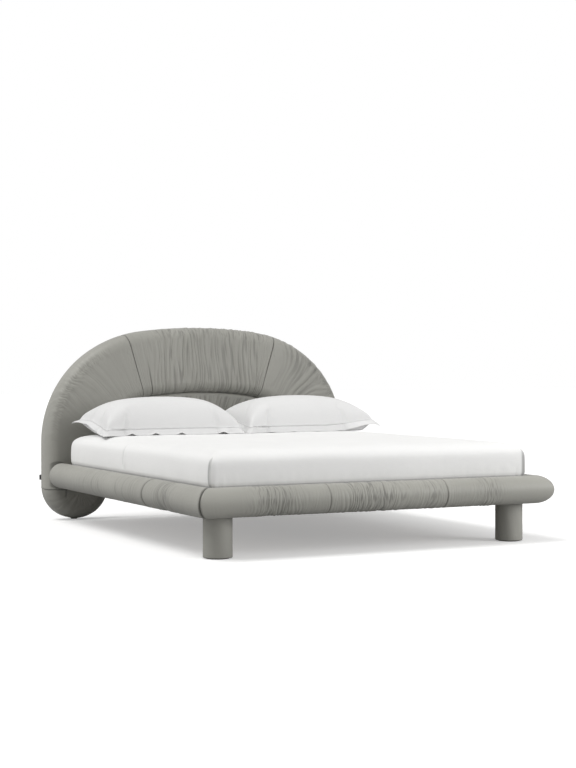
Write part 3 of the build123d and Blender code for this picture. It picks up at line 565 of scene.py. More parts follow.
def lobe_pad(name, outline, side):
    """The round foot below the level seam: a fan of points round the middle of the seam."""
    sizes = outline.sizes
    low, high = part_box(name)
    radius = sizes.band_width / 2
    rise = low.z + radius - high.z
    center_x = side * (outline.half - radius)
    points, away, unrolled = band_section(sizes)
    rim_count = int(np.argmax(points[:, 0] >= sizes.front_round - 1e-6)) + 1
    rim, rim_away = points[:rim_count], away[:rim_count]
    edge = 0.025
    angles = crowded(math.pi, np.linspace(0, edge, 5)[:-1], edge, 132)
    lean = -rise * np.sin(angles)
    far = lean + np.sqrt(lean**2 + radius**2 - rise**2)
    shares_in, shares_out = np.linspace(1, 0, 24)[1:], np.linspace(0, 1, 7)[:-1]

    def fanned(back, along_rim, front):
        return np.concatenate([0 * shares_out + back, along_rim, 0 * shares_in + front])[None, :]

    share = np.concatenate([shares_out, np.ones(rim_count), shares_in])[None, :]
    inset = fanned(rim[0, 0], rim[:, 0], rim[-1, 0])
    depth = fanned(rim[0, 1], rim[:, 1], rim[-1, 1])
    out = fanned(0, -rim_away[:, 0], 0)
    ahead = fanned(1, rim_away[:, 1], -1)
    soft = fanned(0, step(0.02, 0.1, unrolled[:rim_count]), 1)
    reach = share * (far[:, None] - inset)
    drop = reach * np.sin(angles)[:, None]
    swing = reach * np.cos(angles)[:, None]
    soft = soft * step(0.002, 0.03, reach)
    pulled = gathers(61 + side, angles[:, None] * radius + 0 * drop, reach, *LOBE_FOLDS)
    dart = hump(DART_PLACE, DART_WIDTH, swing) * step(0.06, 0.035, drop) * soft
    lift = -seam_inset(drop, sizes.seam_round) - DART_DEPTH * dart
    lift = lift + 0.3 * sizes.gather_depth * soft * pulled
    reach = reach + lift * out
    x = center_x + side * reach * np.cos(angles)[:, None]
    z = high.z - reach * np.sin(angles)[:, None]
    y = depth + lift * ahead
    piece = shell_mesh(name.replace("pad", "cover"), np.stack([x, y, z], -1))
    # Painted shade in the dart and the level seam, and the painted shadow round the side rail
    mark = 0.9 * dart + 0.8 * hump(0, 0.005, drop) * soft
    set_value(piece, "crease_shade", np.maximum(mark, rail_contact_shadow(x, y, z)))
    tidy(piece)
    return piece


def recessed_pad(outline):
    """The gathered pad inside the arch."""
    sizes = outline.sizes
    low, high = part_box("inner_pad")
    half = high.x
    columns = crowded(2 * half, (0, 0.002, 0.006, 0.012), 0.02, 230) - half
    shares = crowded(1, (0, 0.004, 0.012, 0.024, 0.04), 0.06, 60)
    outer, inward = outline.places(np.linspace(0, outline.end, 4000))
    arch = outer + sizes.band_width * inward
    top = np.interp(np.abs(columns), arch[:, 0], arch[:, 1])
    x = columns[:, None] + 0 * shares[None, :]
    z = low.z + (top[:, None] - low.z) * shares[None, :]
    rim = np.minimum(np.minimum(half - np.abs(x), z - low.z), (top[:, None] - z) * 0.9)
    fan = np.arctan2(x, z) * 0.8
    height = gathers(83, fan, np.hypot(x, z), *INNER_FOLDS) * step(0.0, 0.03, rim)
    crown = 0.006 * step(0, 0.15, rim)
    depth = low.y - (0.9 * sizes.gather_depth * height + crown) + seam_inset(rim, 0.016)
    front = np.stack([x, depth, z], -1)
    wall = np.stack([x, 0 * depth + high.y - 0.007, z], -1)
    piece = closed_slab("inner_cover", front, wall)
    # Painted shade in the creases of the gathers
    mark = 0.7 * step(*INNER_CREASE, height)
    set_value(piece, "crease_shade", np.concatenate([mark.ravel(), np.zeros(mark.size)]))
    tidy(piece)
    return piece


def closed_slab(name, front, back):
    """A slab from a front and a back grid of points, closed round the rim."""
    rows, count = front.shape[:2]
    corner = np.arange(rows * count).reshape(rows, count)
    grid = np.stack([corner[:-1, :-1], corner[:-1, 1:], corner[1:, 1:], corner[1:, :-1]], -1)
    grid = grid.reshape(-1, 4)
    under = rows * count
    faces = grid.tolist() + (grid[:, ::-1] + under).tolist()
    rim = np.concatenate([corner[0], corner[1:, -1], corner[-1, -2::-1], corner[-2:0:-1, 0]])
    following = np.roll(rim, -1)
    faces += np.stack([following, rim, rim + under, following + under], -1).tolist()
    return add_piece(name, np.concatenate([front.reshape(-1, 3), back.reshape(-1, 3)]), faces)


# Rails and legs
def roll_section(radius, flat):
    """A roll's section with a flat inner side: heights, directions out and up, unrolled lengths."""
    angle = np.linspace(-math.pi, math.pi, 61)[:-1]
    on_flat = radius * np.cos(angle) < -flat
    away_out = np.where(on_flat, -1.0, np.cos(angle))
    away_up = np.where(on_flat, 0.0, np.sin(angle))
    return radius * np.sin(angle), away_out, away_up, angle * radius, on_flat


def roll_relief(seed, sizes, run, section, seams, seam_width, gathered, spacing):
    """Height of a roll's leather, and its painted shade in the creases of the gathers and in the seam
    grooves.
    """
    around, on_flat = section[3:]
    run, around = run + 0 * around[None, :], around[None, :] + 0 * run
    soft = np.where(on_flat, 0.0, 1.0)[None, :] * gathered
    height = gathers(seed, run, around, spacing, 7 * spacing + 0.06)
    lift = sizes.gather_depth * soft * height
    mark = 0.85 * soft * step(*DEEP_CREASE, height)
    for seam, strength in seams:
        groove = strength * hump(seam, seam_width, run)
        beside = strength * hump(seam, 4 * seam_width, run) * (1 - groove)
        pucker = strength * hump(seam, SEAM_PUCKER_WIDTH, run)
        pucker = pucker * gathers(seed + 5, around, run, *ROLL_PUCKERS)
        lift = lift - sizes.seam_depth * groove + SEAM_SWELL * beside + SEAM_PUCKER * pucker
        # Painted shade in the seam's groove
        mark = mark + groove
    return lift, np.clip(mark, 0, 1)


def gathered_share(stretches, run, plain, end):
    """How strongly a roll's leather is gathered along its length, with plain ends."""
    gathered = plain + sum(amount * hump(center, width, run) for center, width, amount in stretches)
    return np.clip(gathered, 0, 1) * step(0, 0.05, end)


def side_roll(name, side, sizes):
    """The padded roll of one side rail, mitred at the foot and domed against the headboard."""
    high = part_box(name)[1]
    radius = sizes.roll_radius
    axis_x = side * (cad_high.x - radius)
    axis_z = high.z - radius
    foot_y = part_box("foot_roll")[0].y + radius
    flat = abs(axis_x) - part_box("mattress")[1].x - 0.0075
    length = high.y - radius - foot_y
    along = stations(0, length, 0.0036, [place for place, _ in SIDE_SEAMS], 0.02, 0.0018)
    dome = np.linspace(0, math.pi / 2, 22)[1:]
    section = roll_section(radius, flat)
    up, away_out, away_up, around, _ = section
    run = np.concatenate([along, length + radius * np.sin(dome)])[:, None]
    swell = np.concatenate([np.ones(len(along)), np.maximum(np.cos(dome), 0.004)])[:, None]
    gathered = gathered_share(SIDE_GATHERS, run, 0.12, run) * swell
    lift, mark = roll_relief(
        101 + side, sizes, run, section, SIDE_SEAMS, SIDE_ROLL_SEAM, gathered, SIDE_ROLL_SPACING
    )
    lift = swell * (lift - seam_inset(run * MITRE_SLOPE, MITRE_ROUND))
    u = np.maximum(radius * swell * np.cos(around / radius)[None, :], -flat) + lift * away_out[None, :]
    w = up[None, :] * swell + lift * away_up[None, :]
    y = foot_y + run - u * (1 - step(0, MITRE_REACH, run))
    piece = shell_mesh(name.replace("roll", "roll_cover"), np.stack([axis_x + side * u, y, axis_z + w], -1))
    # Painted shadow where the dome meets the headboard, and painted shade along the mitre
    board_contact_shadow = 0.7 * step(0.62, 0.97, (run - length) / radius)
    set_value(piece, "crease_shade", mark + 1.2 * hump(0, SIDE_MITRE_LINE, run) + board_contact_shadow)
    tidy(piece)
    return piece


def foot_roll(sizes):
    """The padded roll of the foot rail, mitred at both ends."""
    low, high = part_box("foot_roll")
    radius = sizes.roll_radius
    axis_y, axis_z = low.y + radius, high.z - radius
    reach = cad_high.x - radius
    flat = high.y - axis_y
    run = stations(-reach, reach, 0.0028, [place for place, _ in FOOT_SEAMS])[:, None]
    section = roll_section(radius, flat)
    up, away_out, away_up, around, _ = section
    end = reach - np.abs(run)
    gathered = gathered_share(FOOT_GATHERS, run, 0.04 + 0.16 * step(0.15, 0.3, end), end)
    lift, mark = roll_relief(
        141, sizes, run, section, FOOT_SEAMS, FOOT_ROLL_SEAM, gathered, FOOT_ROLL_SPACING
    )
    lift = lift - seam_inset(end * MITRE_SLOPE, MITRE_ROUND)
    u = np.maximum(radius * np.cos(around / radius)[None, :], -flat) + lift * away_out[None, :]
    w = up[None, :] + lift * away_up[None, :]
    x = run + np.sign(run) * u * (1 - step(0, MITRE_REACH, end))
    piece = shell_mesh("foot_roll_cover", np.stack([x, axis_y - u, axis_z + w], -1))
    # Painted shade in the creases and seams, and along both mitres
    set_value(piece, "crease_shade", mark + hump(0, FOOT_MITRE_LINE, end))
    tidy(piece)
    return piece


def leg_sleeve(name, side):
    """The leather sleeve of a drum leg, with a seam down its inner side."""
    low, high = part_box(name)
    radius = (high.x - low.x) / 2
    center = (low + high) / 2
    height = np.concatenate([
        [0, 0.0006, 0.002, 0.004], np.linspace(0.008, high.z - low.z - 0.006, 40),
        high.z - low.z - np.array([0.003, 0.001, 0]),
    ])[:, None]
    angle = np.linspace(0, math.tau, 145)[:-1][None, :]
    seam = (angle - LEG_SEAMS[side] * math.pi + math.pi) % math.tau - math.pi
    edge = np.minimum(height, high.z - low.z - height)
    slack = ripple(171 + side, np.cos(angle) * 2 + height * 6, np.sin(angle) * 2 + 5)
    lift = LEG_SLACK * slack - LEG_SEAM_DEPTH * hump(0, LEG_SEAM_WIDTH, seam) - seam_inset(edge, 0.0035)
    lift = lift + 0.0006 * ripple(181, angle * 6, height * 9) * (1 - step(0.0, 0.05, height))
    distance = radius - 0.0006 + lift
    x, y = center.x + distance * np.cos(angle), center.y + distance * np.sin(angle)
    piece = shell_mesh(name.replace("sleeve", "cover"), np.stack([x, y, low.z + height + 0 * angle], -1))
    # Painted shade along the seam and round the top and bottom edges
    set_value(piece, "crease_shade", 0.8 * hump(0, 0.04, seam) + 0.6 * hump(0, 0.004, edge) + 0 * height)
    tidy(piece)
    return piece


# Bedding
def rounded_loop(half_x, half_y, radius, along, turns):
    """Points round a rectangle with rounded corners, anticlockwise from the right, and their directions."""
    points, away = [], []
    straight_x, straight_y = half_x - radius, half_y - radius
    for quarter in range(4):
        near_x, near_y = (half_x, straight_y) if quarter % 2 == 0 else (half_y, straight_x)
        side = np.stack([0 * along + near_x, along * near_y], -1)
        turn = np.stack([np.cos(turns), np.sin(turns)], -1)
        bend = np.array([near_x - radius, near_y]) + radius * turn
        angle = quarter * math.pi / 2
        spin = np.array([[math.cos(angle), math.sin(angle)], [-math.sin(angle), math.cos(angle)]])
        points += [side @ spin, bend @ spin]
        away += [np.tile([1.0, 0.0], (len(along), 1)) @ spin, turn @ spin]
    return np.concatenate(points), np.concatenate(away)


def bedding_rows(sizes, half_x, height, tuck, underside):
    """Loops of a mattress-shaped cover, as insets from its sides and drops from its top."""
    wide = (half_x - 0.015, half_x - 0.1, half_x - 0.3, half_x - 0.5, half_x - 0.62, CROWN_REACH + 0.01)
    rows = [(inset, 0.0) for inset in wide]
    for angle in np.linspace(0.05, math.pi / 2, 20):
        out, down = math.sin(angle) ** 0.7, max(math.cos(angle), 0) ** 0.7
        rows.append((CROWN_REACH * (1 - out), sizes.crown_drop * (1 - down)))
    rows += [(0.0, drop) for drop in np.linspace(sizes.crown_drop, height - BOTTOM_ROUND, 19)[1:]]
    for angle in np.linspace(0, math.pi / 2, 6)[1:]:
        rows.append((BOTTOM_ROUND * (1 - math.cos(angle)), height - BOTTOM_ROUND * (1 - math.sin(angle))))
    under = (0.1, 0.25, 0.5, half_x - 0.015) if underside else np.linspace(BOTTOM_ROUND, tuck, 5)[1:]
    return rows + [(inset, height) for inset in under]


def bedding_shell(name, sizes, inset, tuck, underside, relief):
    """A cover in the mattress's shape, with relief on its sides and top."""
    low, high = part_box("sheet")
    half_x, half_y = high.x - inset, (high.y - low.y) / 2 - inset
    top, bottom = high.z - inset, low.z + inset
    middle_y = (low.y + high.y) / 2
    along = stations(-1, 1, 0.0125, (-0.994, 0.994, -0.955, 0.955), 0.006, 0.0022)
    along = along[np.abs(along) < 0.9999]
    turns = np.linspace(0, math.pi / 2, 14)
    loops, marks = [], []
    for inward, drop in bedding_rows(sizes, half_x, top - bottom, tuck, underside):
        radius = min(sizes.corner_radius + 0.2 * inward, half_x - inward - 0.001)
        points, away = rounded_loop(half_x - inward, half_y - inward, radius, along, turns)
        z = top - drop
        side_share = step(0.0, sizes.crown_drop, drop) * step(0.0, 0.01, z - bottom + 0.012)
        lift, rise, mark = relief(points, away, z, side_share)
        flat = points + away * lift[:, None]
        loops.append(np.stack([flat[:, 0], middle_y + flat[:, 1], z + rise + 0 * lift], -1))
        marks.append(mark)
    piece = shell_mesh(name, np.array(loops), (True, underside))
    # Painted shade of the cover's deep places, for its material
    set_value(piece, "crease_shade", np.array(marks))
    return piece


def arched(value, start, length):
    """Rises from 0 at the start to 1 half way along and falls back to 0."""
    return math.sin(max(0.0, min(1.0, (value - start) / length)) * math.pi)


def sheet_relief(points, away, z, side_share):
    """Folds, puckers and pressed lines of the sheet, and painted shade in its deep places: the hem, the
    corner folds and the pressed line.
    """
    low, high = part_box("sheet")
    x, y = points[:, 0], points[:, 1]
    on_side, on_foot = np.abs(away[:, 0]) > 0.7, away[:, 1] < -0.7
    run = np.where(on_side, y, x)
    ends = np.where(on_side, (high.y - low.y) / 2 - np.abs(y), high.x - np.abs(x))
    near_end = np.exp(-np.maximum(ends, 0) / 0.14)
    off_corner = step(0.0, 0.05, ends)
    pucker = ripple(201, run / 0.034, 0 * run + z / 0.16) * (0.2 + 1.3 * near_end) * off_corner
    wander = ripple(207, run / 0.35, 0 * run + z / 0.3 + np.sign(away[:, 0] + 2 * away[:, 1])) * off_corner
    tucked = 1 - float(step(*TUCK_RISE, z))
    hemmed = 1 - float(step(*HEM_RISE, z))
    belly = BELLY_DEPTH * arched(z, BELLY_BOTTOM, BELLY_HEIGHT)
    lift = belly + TUCK_DEPTH * tucked * pucker + WANDER_DEPTH * wander - HEM_DEPTH * hemmed
    pressed = float(step(*PRESSED_RISE, z)) * on_side * (x < 0)
    lift = lift + PRESSED_DEPTH * pressed * (hump(*PRESSED_RIDGE, run) - hump(*PRESSED_GROOVE, run))
    edge = ends - FOLD_INSET - FOLD_BOW * arched(z, FOLD_BOTTOM, FOLD_HEIGHT)
    folded = np.where(on_side, (x < 0) & (y < 0), on_foot & (x > 0))
    turned = np.where(on_side, (x > 0) & (y < 0), on_foot & (x < 0))
    lift = lift + FOLD_DEPTH * (step(0.003, -0.002, edge) * folded + step(0.25, 0.0, ends) * turned)
    # Painted shade along the pressed line, the corner folds and the hem behind the rail
    mark = 0.5 * pressed * hump(*PRESSED_SHADOW, run) + 0.95 * hump(0.003, 0.008, edge) * folded
    mark = mark + 0.8 * float(step(*HEM_SHADOW, z))
    rise = 0.0014 * (1 - side_share) * ripple(211, x / 0.32, y / 0.28) * (z > 0.44)
    for line in (-0.3, 0.3):
        rise = rise - 0.0006 * hump(line, 0.01, x) * (z > 0.49)
    return side_share * lift, rise, side_share * mark


def mattress_relief(points, away, z, side_share):
    """Quilting of the mattress's border and underside."""
    run = np.where(np.abs(away[:, 0]) > 0.7, points[:, 1], points[:, 0])
    tuft = np.cos(run * math.tau / 0.12) * math.cos((z - 0.41) * math.tau / 0.2)
    return -0.001 * side_share * (1 + tuft), 0 * run, 0 * run


def pillow_grids(sizes, spacing):
    """Flat faces of a pillow that share their rim, with the flange's rings outside it."""
    width, depth = sizes.pillow_width, sizes.pillow_depth
    columns, rows = int(round(width / spacing)) + 1, int(round(depth / spacing)) + 1
    x = np.linspace(-width / 2, width / 2, columns)
    y = np.linspace(-depth / 2, depth / 2, rows)
    face = np.stack(np.meshgrid(x, y, indexing="ij"), -1)
    index = np.arange(columns * rows).reshape(columns, rows)
    rim = np.concatenate([index[:, 0], index[-1, 1:], index[-2::-1, -1], index[0, -2:0:-1]])
    on_rim = np.zeros(columns * rows, bool)
    on_rim[rim] = True
    lower = np.where(on_rim, np.arange(columns * rows), 0)
    lower[~on_rim] = columns * rows + np.arange((~on_rim).sum())
    flat = face.reshape(-1, 2)
    plan = np.concatenate([flat, flat[~on_rim]])
    ring_count = 4
    rings = []
    for k in range(1, ring_count + 1):
        grow = sizes.flange_width * k / ring_count
        edge = flat[rim]
        out = np.where(np.abs(edge[:, 0:1]) > width / 2 - 1e-6, np.sign(edge[:, 0:1]), 0)
        side = np.where(np.abs(edge[:, 1:2]) > depth / 2 - 1e-6, np.sign(edge[:, 1:2]), 0)
        rings.append(edge + grow * np.concatenate([out, side], 1))
    start = len(plan)
    ring_index = np.arange(start, start + ring_count * len(rim)).reshape(ring_count, len(rim))
    plan = np.concatenate([plan] + rings)
    return plan, index, lower.reshape(columns, rows), rim, ring_index


def quads_of(index):
    """Faces of a grid of point numbers."""
    return np.stack([index[:-1, :-1], index[1:, :-1], index[1:, 1:], index[:-1, 1:]], -1).reshape(-1, 4)


def ring_quads(inner, outer):
    """Faces between two closed rings of point numbers."""
    return np.stack([inner, outer, np.roll(outer, -1), np.roll(inner, -1)], -1)


def filled_pillow(name, center, sizes, seed, plan, upper, lower, rim, rings):
    """Fills a flat pillowcase with air as Cloth, on top of the mattress, and returns its points."""
    rest_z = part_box("sheet")[1].z
    place = np.concatenate([plan, np.full((len(plan), 1), 0.0)], 1)
    across = np.abs(plan[:, 0]) / (sizes.pillow_width / 2)
    along = np.abs(plan[:, 1]) / (sizes.pillow_depth / 2)
    dome = (1 - np.clip(across, 0, 1) ** 2.5) * (1 - np.clip(along, 0, 1) ** 2.5)
    is_upper, is_lower = np.zeros(len(plan), bool), np.zeros(len(plan), bool)
    is_upper[upper.ravel()] = True
    is_lower[lower.ravel()] = True
    sign = 1.0 * is_upper - 1.0 * is_lower
    uneven = 0.002 * ripple(seed, plan[:, 0] / 0.07, plan[:, 1] / 0.07)
    place[:, 2] = rest_z + 0.030 + 0.012 * sign * dome + uneven
    place[:, :2] += np.array(center)
    faces = quads_of(upper).tolist() + quads_of(lower)[:, ::-1].tolist()
    for inner, outer in zip([rim, *rings], rings):
        faces += ring_quads(inner, outer).tolist()
    blank = add_piece(name + "_flat", place, faces)
    filled = blank.vertex_groups.new(name="filled")
    filled.add(np.unique(np.concatenate([upper.ravel(), lower.ravel()])).tolist(), 1.0, "REPLACE")
    cloth = blank.modifiers.new("Cloth", "CLOTH")
    for key, value in PILLOW_CLOTH.items():
        setattr(cloth.settings, key, value)
    cloth.settings.effector_weights.gravity = PILLOW_GRAVITY
    cloth.collision_settings.distance_min = 0.003
    cloth.point_cache.frame_end = PILLOW_FRAMES
    bed = rest_plane(rest_z)
    points = settled_points(blank, PILLOW_FRAMES)
    bpy.data.objects.remove(bed)
    return points


def rest_plane(height):
    """A flat stand-in for the mattress's top, for the cloth to lie on."""
    corners = [(x, y, height) for x, y in ((-2, -2), (2, -2), (2, 2), (-2, 2))]
    plane = add_piece("rest", corners, [(0, 1, 2, 3)])
    plane.modifiers.new("Collision", "COLLISION")
    plane.collision.thickness_outer = 0.002
    return plane


def slump(points, center, side):
    """Lets a filled pillow's front down towards the sheet; its crown and its back stay up."""
    rest_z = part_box("sheet")[1].z
    x, y, z = points[:, 0] - center[0], points[:, 1] - center[1], points[:, 2] - rest_z
    ahead = 0.10 + 0.90 * step(0.14, -0.20, y)
    if side > 0:
        ahead = ahead * (1 - 0.55 * step(0.1, 0.4, x))
    points[:, 2] = rest_z + np.maximum(z - PILLOW_SLUMP * ahead * (1 - z / z.max()) ** 1.5, 0.003)
    return points


def hang_flange(points, plan, rim, rings, center, side, seed):
    """Lays the flange down round a filled pillow: steep in front, level at the outer end and the back."""
    rest_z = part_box("sheet")[1].z
    edge = points[rim]
    x, y = edge[:, 0] - center[0], edge[:, 1] - center[1]
    front = step(0.05, -0.12, y)
    outer, inner = step(0.22, 0.36, side * x), step(0.22, 0.36, -side * x)
    steeper = (FLANGE_STEEP[side] - FLANGE_LEVEL) * front * (1 - (0.7 if side > 0 else 0.1) * outer)
    pitch = FLANGE_LEVEL + steeper + FLANGE_INNER * inner * (1 - front)
    pitch = np.radians(pitch + FLANGE_WANDER * ripple(seed + 3, x / 0.06, y / 0.06) * (0.3 + inner))
    lifts = sum(hump(place, FLANGE_LIFT_WIDTH, x) for place in FLANGE_LIFTS)
    lifted = lifts * front * (1 if side < 0 else 0.3)
    for number, ring in enumerate(rings, 1):
        share = number / len(rings)
        out = plan[ring] - plan[rim]
        level, drop = np.cos(pitch), np.hypot(out[:, 0], out[:, 1]) * np.sin(pitch)
        z = edge[:, 2] - drop
        lowest = rest_z + 0.002 + FLANGE_LIFT * share * lifted
        spare = np.maximum(lowest - z, 0) / np.maximum(drop, 0.001)
        points[ring, :2] = edge[:, :2] + out * (level + 0.6 * spare)[:, None]
        points[ring, 2] = np.maximum(z, lowest)
    return points


def make_pillow(name, center, side, sizes, seed):
    """A filled pillow in its flanged case, at rest on the sheet."""
    plan, upper, lower, rim, rings = pillow_grids(sizes, PILLOW_SPACING)
    points = filled_pillow(name, center, sizes, seed, plan, upper, lower, rim, rings)
    points = hang_flange(slump(points, center, side), plan, rim, rings, center, side, seed)
    return sewn_pillow(name, points, upper, lower, rim, rings, FLANGE_THICKNESS)


def settled_points(blank, frames):
    """Steps the simulation and returns where the cloth came to rest."""
    for step_number in range(1, frames + 1):
        bpy.context.scene.frame_set(step_number)
    evaluated = blank.evaluated_get(bpy.context.evaluated_depsgraph_get())
    settled = evaluated.to_mesh()
    points = np.zeros(len(settled.vertices) * 3, np.float32)
    settled.vertices.foreach_get("co", points)
    evaluated.to_mesh_clear()
    bpy.context.scene.frame_set(1)
    bpy.data.objects.remove(blank)
    return points.reshape(-1, 3).astype(float)


def grid_normals(points):
    """Directions out of a grid of points."""
    along = np.gradient(points, axis=0)
    across = np.gradient(points, axis=1)
    normal = np.cross(along, across)
    return normal / np.maximum(np.linalg.norm(normal, axis=-1, keepdims=True), 1e-9)


def soften(piece, places):
    """Evens out a piece's points at the places named."""
    work = bmesh.new()
    work.from_mesh(piece.data)
    work.verts.ensure_lookup_table()
    near = [work.verts[int(place)] for place in np.unique(places)]
    every_way = {"use_axis_x": True, "use_axis_y": True, "use_axis_z": True}
    for _ in range(5):
        bmesh.ops.smooth_vert(work, verts=near, factor=0.5, **every_way)
    work.to_mesh(piece.data)
    work.free()


def sewn_pillow(name, points, upper, lower, rim, rings, thickness):
    """Closes a filled pillow: its two faces, and the flange as a doubled flat strip round them."""
    start = rings.min()
    ring_points = np.concatenate([points[rim][None], points[rings]], 0)
    normal = grid_normals(np.concatenate([ring_points, ring_points[:, :1]], 1))[:, :-1]
    normal = np.where(normal[..., 2:3] < 0, -normal, normal)
    half = np.array([0.25, 0.8, 1, 1, 0.9])[: len(ring_points)] * thickness / 2
    top = ring_points + normal * half[:, None, None]
    base = ring_points - normal * half[:, None, None]
    top_index = start + np.arange(rings.size).reshape(rings.shape)
    base_index = top_index + rings.size
    faces = quads_of(upper).tolist() + quads_of(lower)[:, ::-1].tolist()
    for inner, outer in zip([rim, *top_index], top_index):
        faces += ring_quads(inner, outer).tolist()
    for inner, outer in zip([rim, *base_index], base_index):
        faces += ring_quads(inner, outer)[:, ::-1].tolist()
    faces += ring_quads(top_index[-1], base_index[-1]).tolist()
    sewn = np.concatenate([points[:start], top[1:].reshape(-1, 3), base[1:].reshape(-1, 3)])
    piece = add_piece(name, sewn, faces)
    stitch = np.zeros(len(sewn))
    stitch[rim] = 1
    set_value(piece, "stitch", stitch)
    soften(piece, np.concatenate([rim, upper[1, :], upper[-2, :], upper[:, 1], upper[:, -2], top_index[0]]))
    smooth = piece.modifiers.new("Smooth", "SUBSURF")
    smooth.levels = smooth.render_levels = 1
    apply_modifiers(piece)
    tidy(piece)
    return piece


# Materials
class Pattern:
    """A material whose nodes are added from left to right."""

    def __init__(self, name, **constants):
        self.material = bpy.data.materials.new(name)
        self.material.use_nodes = True
        self.tree = self.material.node_tree
        self.shader = self.tree.nodes["Principled BSDF"]
        for key, value in constants.items():
            self.shader.inputs[key.replace("_", " ")].default_value = value
        self.place = self.add("ShaderNodeTexCoord").outputs["Object"]

    def add(self, kind, inputs=(), **settings):
        node = self.tree.nodes.new(kind)
        for key, value in settings.items():
            setattr(node, key, value)
        for key, value in dict(inputs).items():
            self.feed(node.inputs[key], value)
        return node

    def feed(self, socket, value):
        if isinstance(value, bpy.types.NodeSocket):
            self.tree.links.new(value, socket)
        else:
            socket.default_value = value

    def stretched(self, scale):
        return self.add("ShaderNodeMapping", {"Vector": self.place, "Scale": scale}).outputs[0]

    def noise(self, scale, detail=3.0, place=None, rough=0.5):
        inputs = {"Vector": place or self.place, "Scale": scale, "Detail": detail, "Roughness": rough}
        return self.add("ShaderNodeTexNoise", inputs).outputs["Fac"]

    def cells(self, scale, feature="F1"):
        inputs = {"Vector": self.place, "Scale": scale}
        return self.add("ShaderNodeTexVoronoi", inputs, feature=feature).outputs["Distance"]

    def bands(self, scale, direction, distortion=0.0):
        inputs = {"Vector": self.place, "Scale": scale, "Distortion": distortion, "Detail": 2.0}
        return self.add("ShaderNodeTexWave", inputs, bands_direction=direction).outputs["Fac"]

    def math(self, operation, a, b):
        return self.add("ShaderNodeMath", {0: a, 1: b}, operation=operation).outputs[0]

    def span(self, value, low, high, to_low=0.0, to_high=1.0):
        inputs = {0: value, 1: low, 2: high, 3: to_low, 4: to_high}
        return self.add("ShaderNodeMapRange", inputs).outputs[0]

    def blend(self, share, first, second):
        node = self.add("ShaderNodeMix", data_type="RGBA")
        self.feed(node.inputs[0], share)
        self.feed(node.inputs[6], first)
        self.feed(node.inputs[7], second)
        return node.outputs[2]

    def attribute(self, name):
        return self.add("ShaderNodeAttribute", attribute_name=name).outputs["Fac"]

    def color(self, value):
        self.feed(self.shader.inputs["Base Color"], value)

    def rough(self, value):
        self.feed(self.shader.inputs["Roughness"], value)

    def relief(self, height, depth, strength=1.0, under=None):
        inputs = {"Height": height, "Distance": depth, "Strength": strength}
        if under is not None:
            inputs["Normal"] = under
        normal = self.add("ShaderNodeBump", inputs).outputs[0]
        self.feed(self.shader.inputs["Normal"], normal)
        return normal


def shade(color, share):
    """A colour with its brightness changed by a share."""
    return (color[0] * share, color[1] * share, color[2] * share, 1)


def leather_finish(colors):
    """Soft pebbled leather with painted shade in its creases, seams and where parts meet, and paler where
    it is rubbed.
    """
    pattern = Pattern("leather", Specular_IOR_Level=0.35, Sheen_Weight=0.12, Sheen_Roughness=0.6)
    base = colors.leather
    broad = pattern.span(pattern.noise(2.6, 4.0), 0.3, 0.7)
    cloudy = pattern.blend(broad, shade(base, 0.94), shade(base, 1.06))
    # Painted shade: the stored shares darken the leather in creases, seam grooves, mitres and where rails,
    # legs and headboard meet
    crease_shade = pattern.attribute("crease_shade")
    painted_shade = pattern.span(crease_shade, 0.08, 1.0, 0.0, 0.78)
    rubbed = pattern.span(pattern.noise(11.0, 5.0), 0.55, 0.8, 0.0, 0.25)
    worn = pattern.blend(rubbed, cloudy, shade(base, 1.14))
    pattern.color(pattern.blend(painted_shade, worn, shade(base, 0.30)))
    grain = pattern.cells(620.0, feature="SMOOTH_F1")
    hair = pattern.noise(1500.0, 2.0)
    pattern.rough(pattern.span(pattern.noise(60.0, 3.0), 0.3, 0.7, 0.44, 0.56))
    coarse = pattern.relief(pattern.noise(85.0, 3.0), 0.0012, 0.35)
    pattern.relief(pattern.math("ADD", grain, pattern.math("MULTIPLY", hair, 0.3)), 0.0004, 0.45, coarse)
    return pattern.material


def cotton_finish(name, color, thread):
    """Plain woven cotton with uneven threads and soft pressed creases."""
    pattern = Pattern(name, Specular_IOR_Level=0.15, Sheen_Weight=0.2, Sheen_Roughness=0.5)
    slub = pattern.noise(1.0, 2.0, pattern.stretched((30, 900, 30)))
    weft = pattern.noise(1.0, 2.0, pattern.stretched((900, 30, 900)))
    uneven = pattern.math("ADD", slub, weft)
    share = pattern.span(uneven, 0.7, 1.3)
    cloudy = pattern.span(pattern.noise(5.0, 3.0), 0.3, 0.7)
    clouds = pattern.blend(cloudy, shade(color, 0.975), shade(color, 1.0))
    pattern.color(pattern.blend(pattern.math("MULTIPLY", share, 0.35), clouds, shade(color, 0.93)))
    pattern.rough(pattern.span(uneven, 0.6, 1.4, 0.78, 0.9))
    across = pattern.bands(thread, "X")
    down = pattern.bands(thread, "Y")
    up = pattern.bands(thread, "Z")
    weave = pattern.math("MULTIPLY", pattern.math("ADD", across, down), pattern.math("ADD", up, 0.5))
    soft = pattern.relief(pattern.noise(14.0, 4.0), 0.006, 0.10)
    pattern.relief(pattern.math("ADD", weave, uneven), 0.0002, 0.25, soft)
    return pattern


def sheet_finish(colors):
    """The sheet's percale, with painted shade where it is tucked in and folded."""
    pattern = cotton_finish("sheet_cotton", colors.sheet, 260.0)
    # Painted shade: the stored shares darken the cotton
    painted_sheet_shade = pattern.span(pattern.attribute("crease_shade"), 0.05, 1.0, 0.0, 0.75)
    before = pattern.shader.inputs["Base Color"].links[0].from_socket
    pattern.color(pattern.blend(painted_sheet_shade, before, shade(colors.sheet, 0.25)))
    return pattern.material


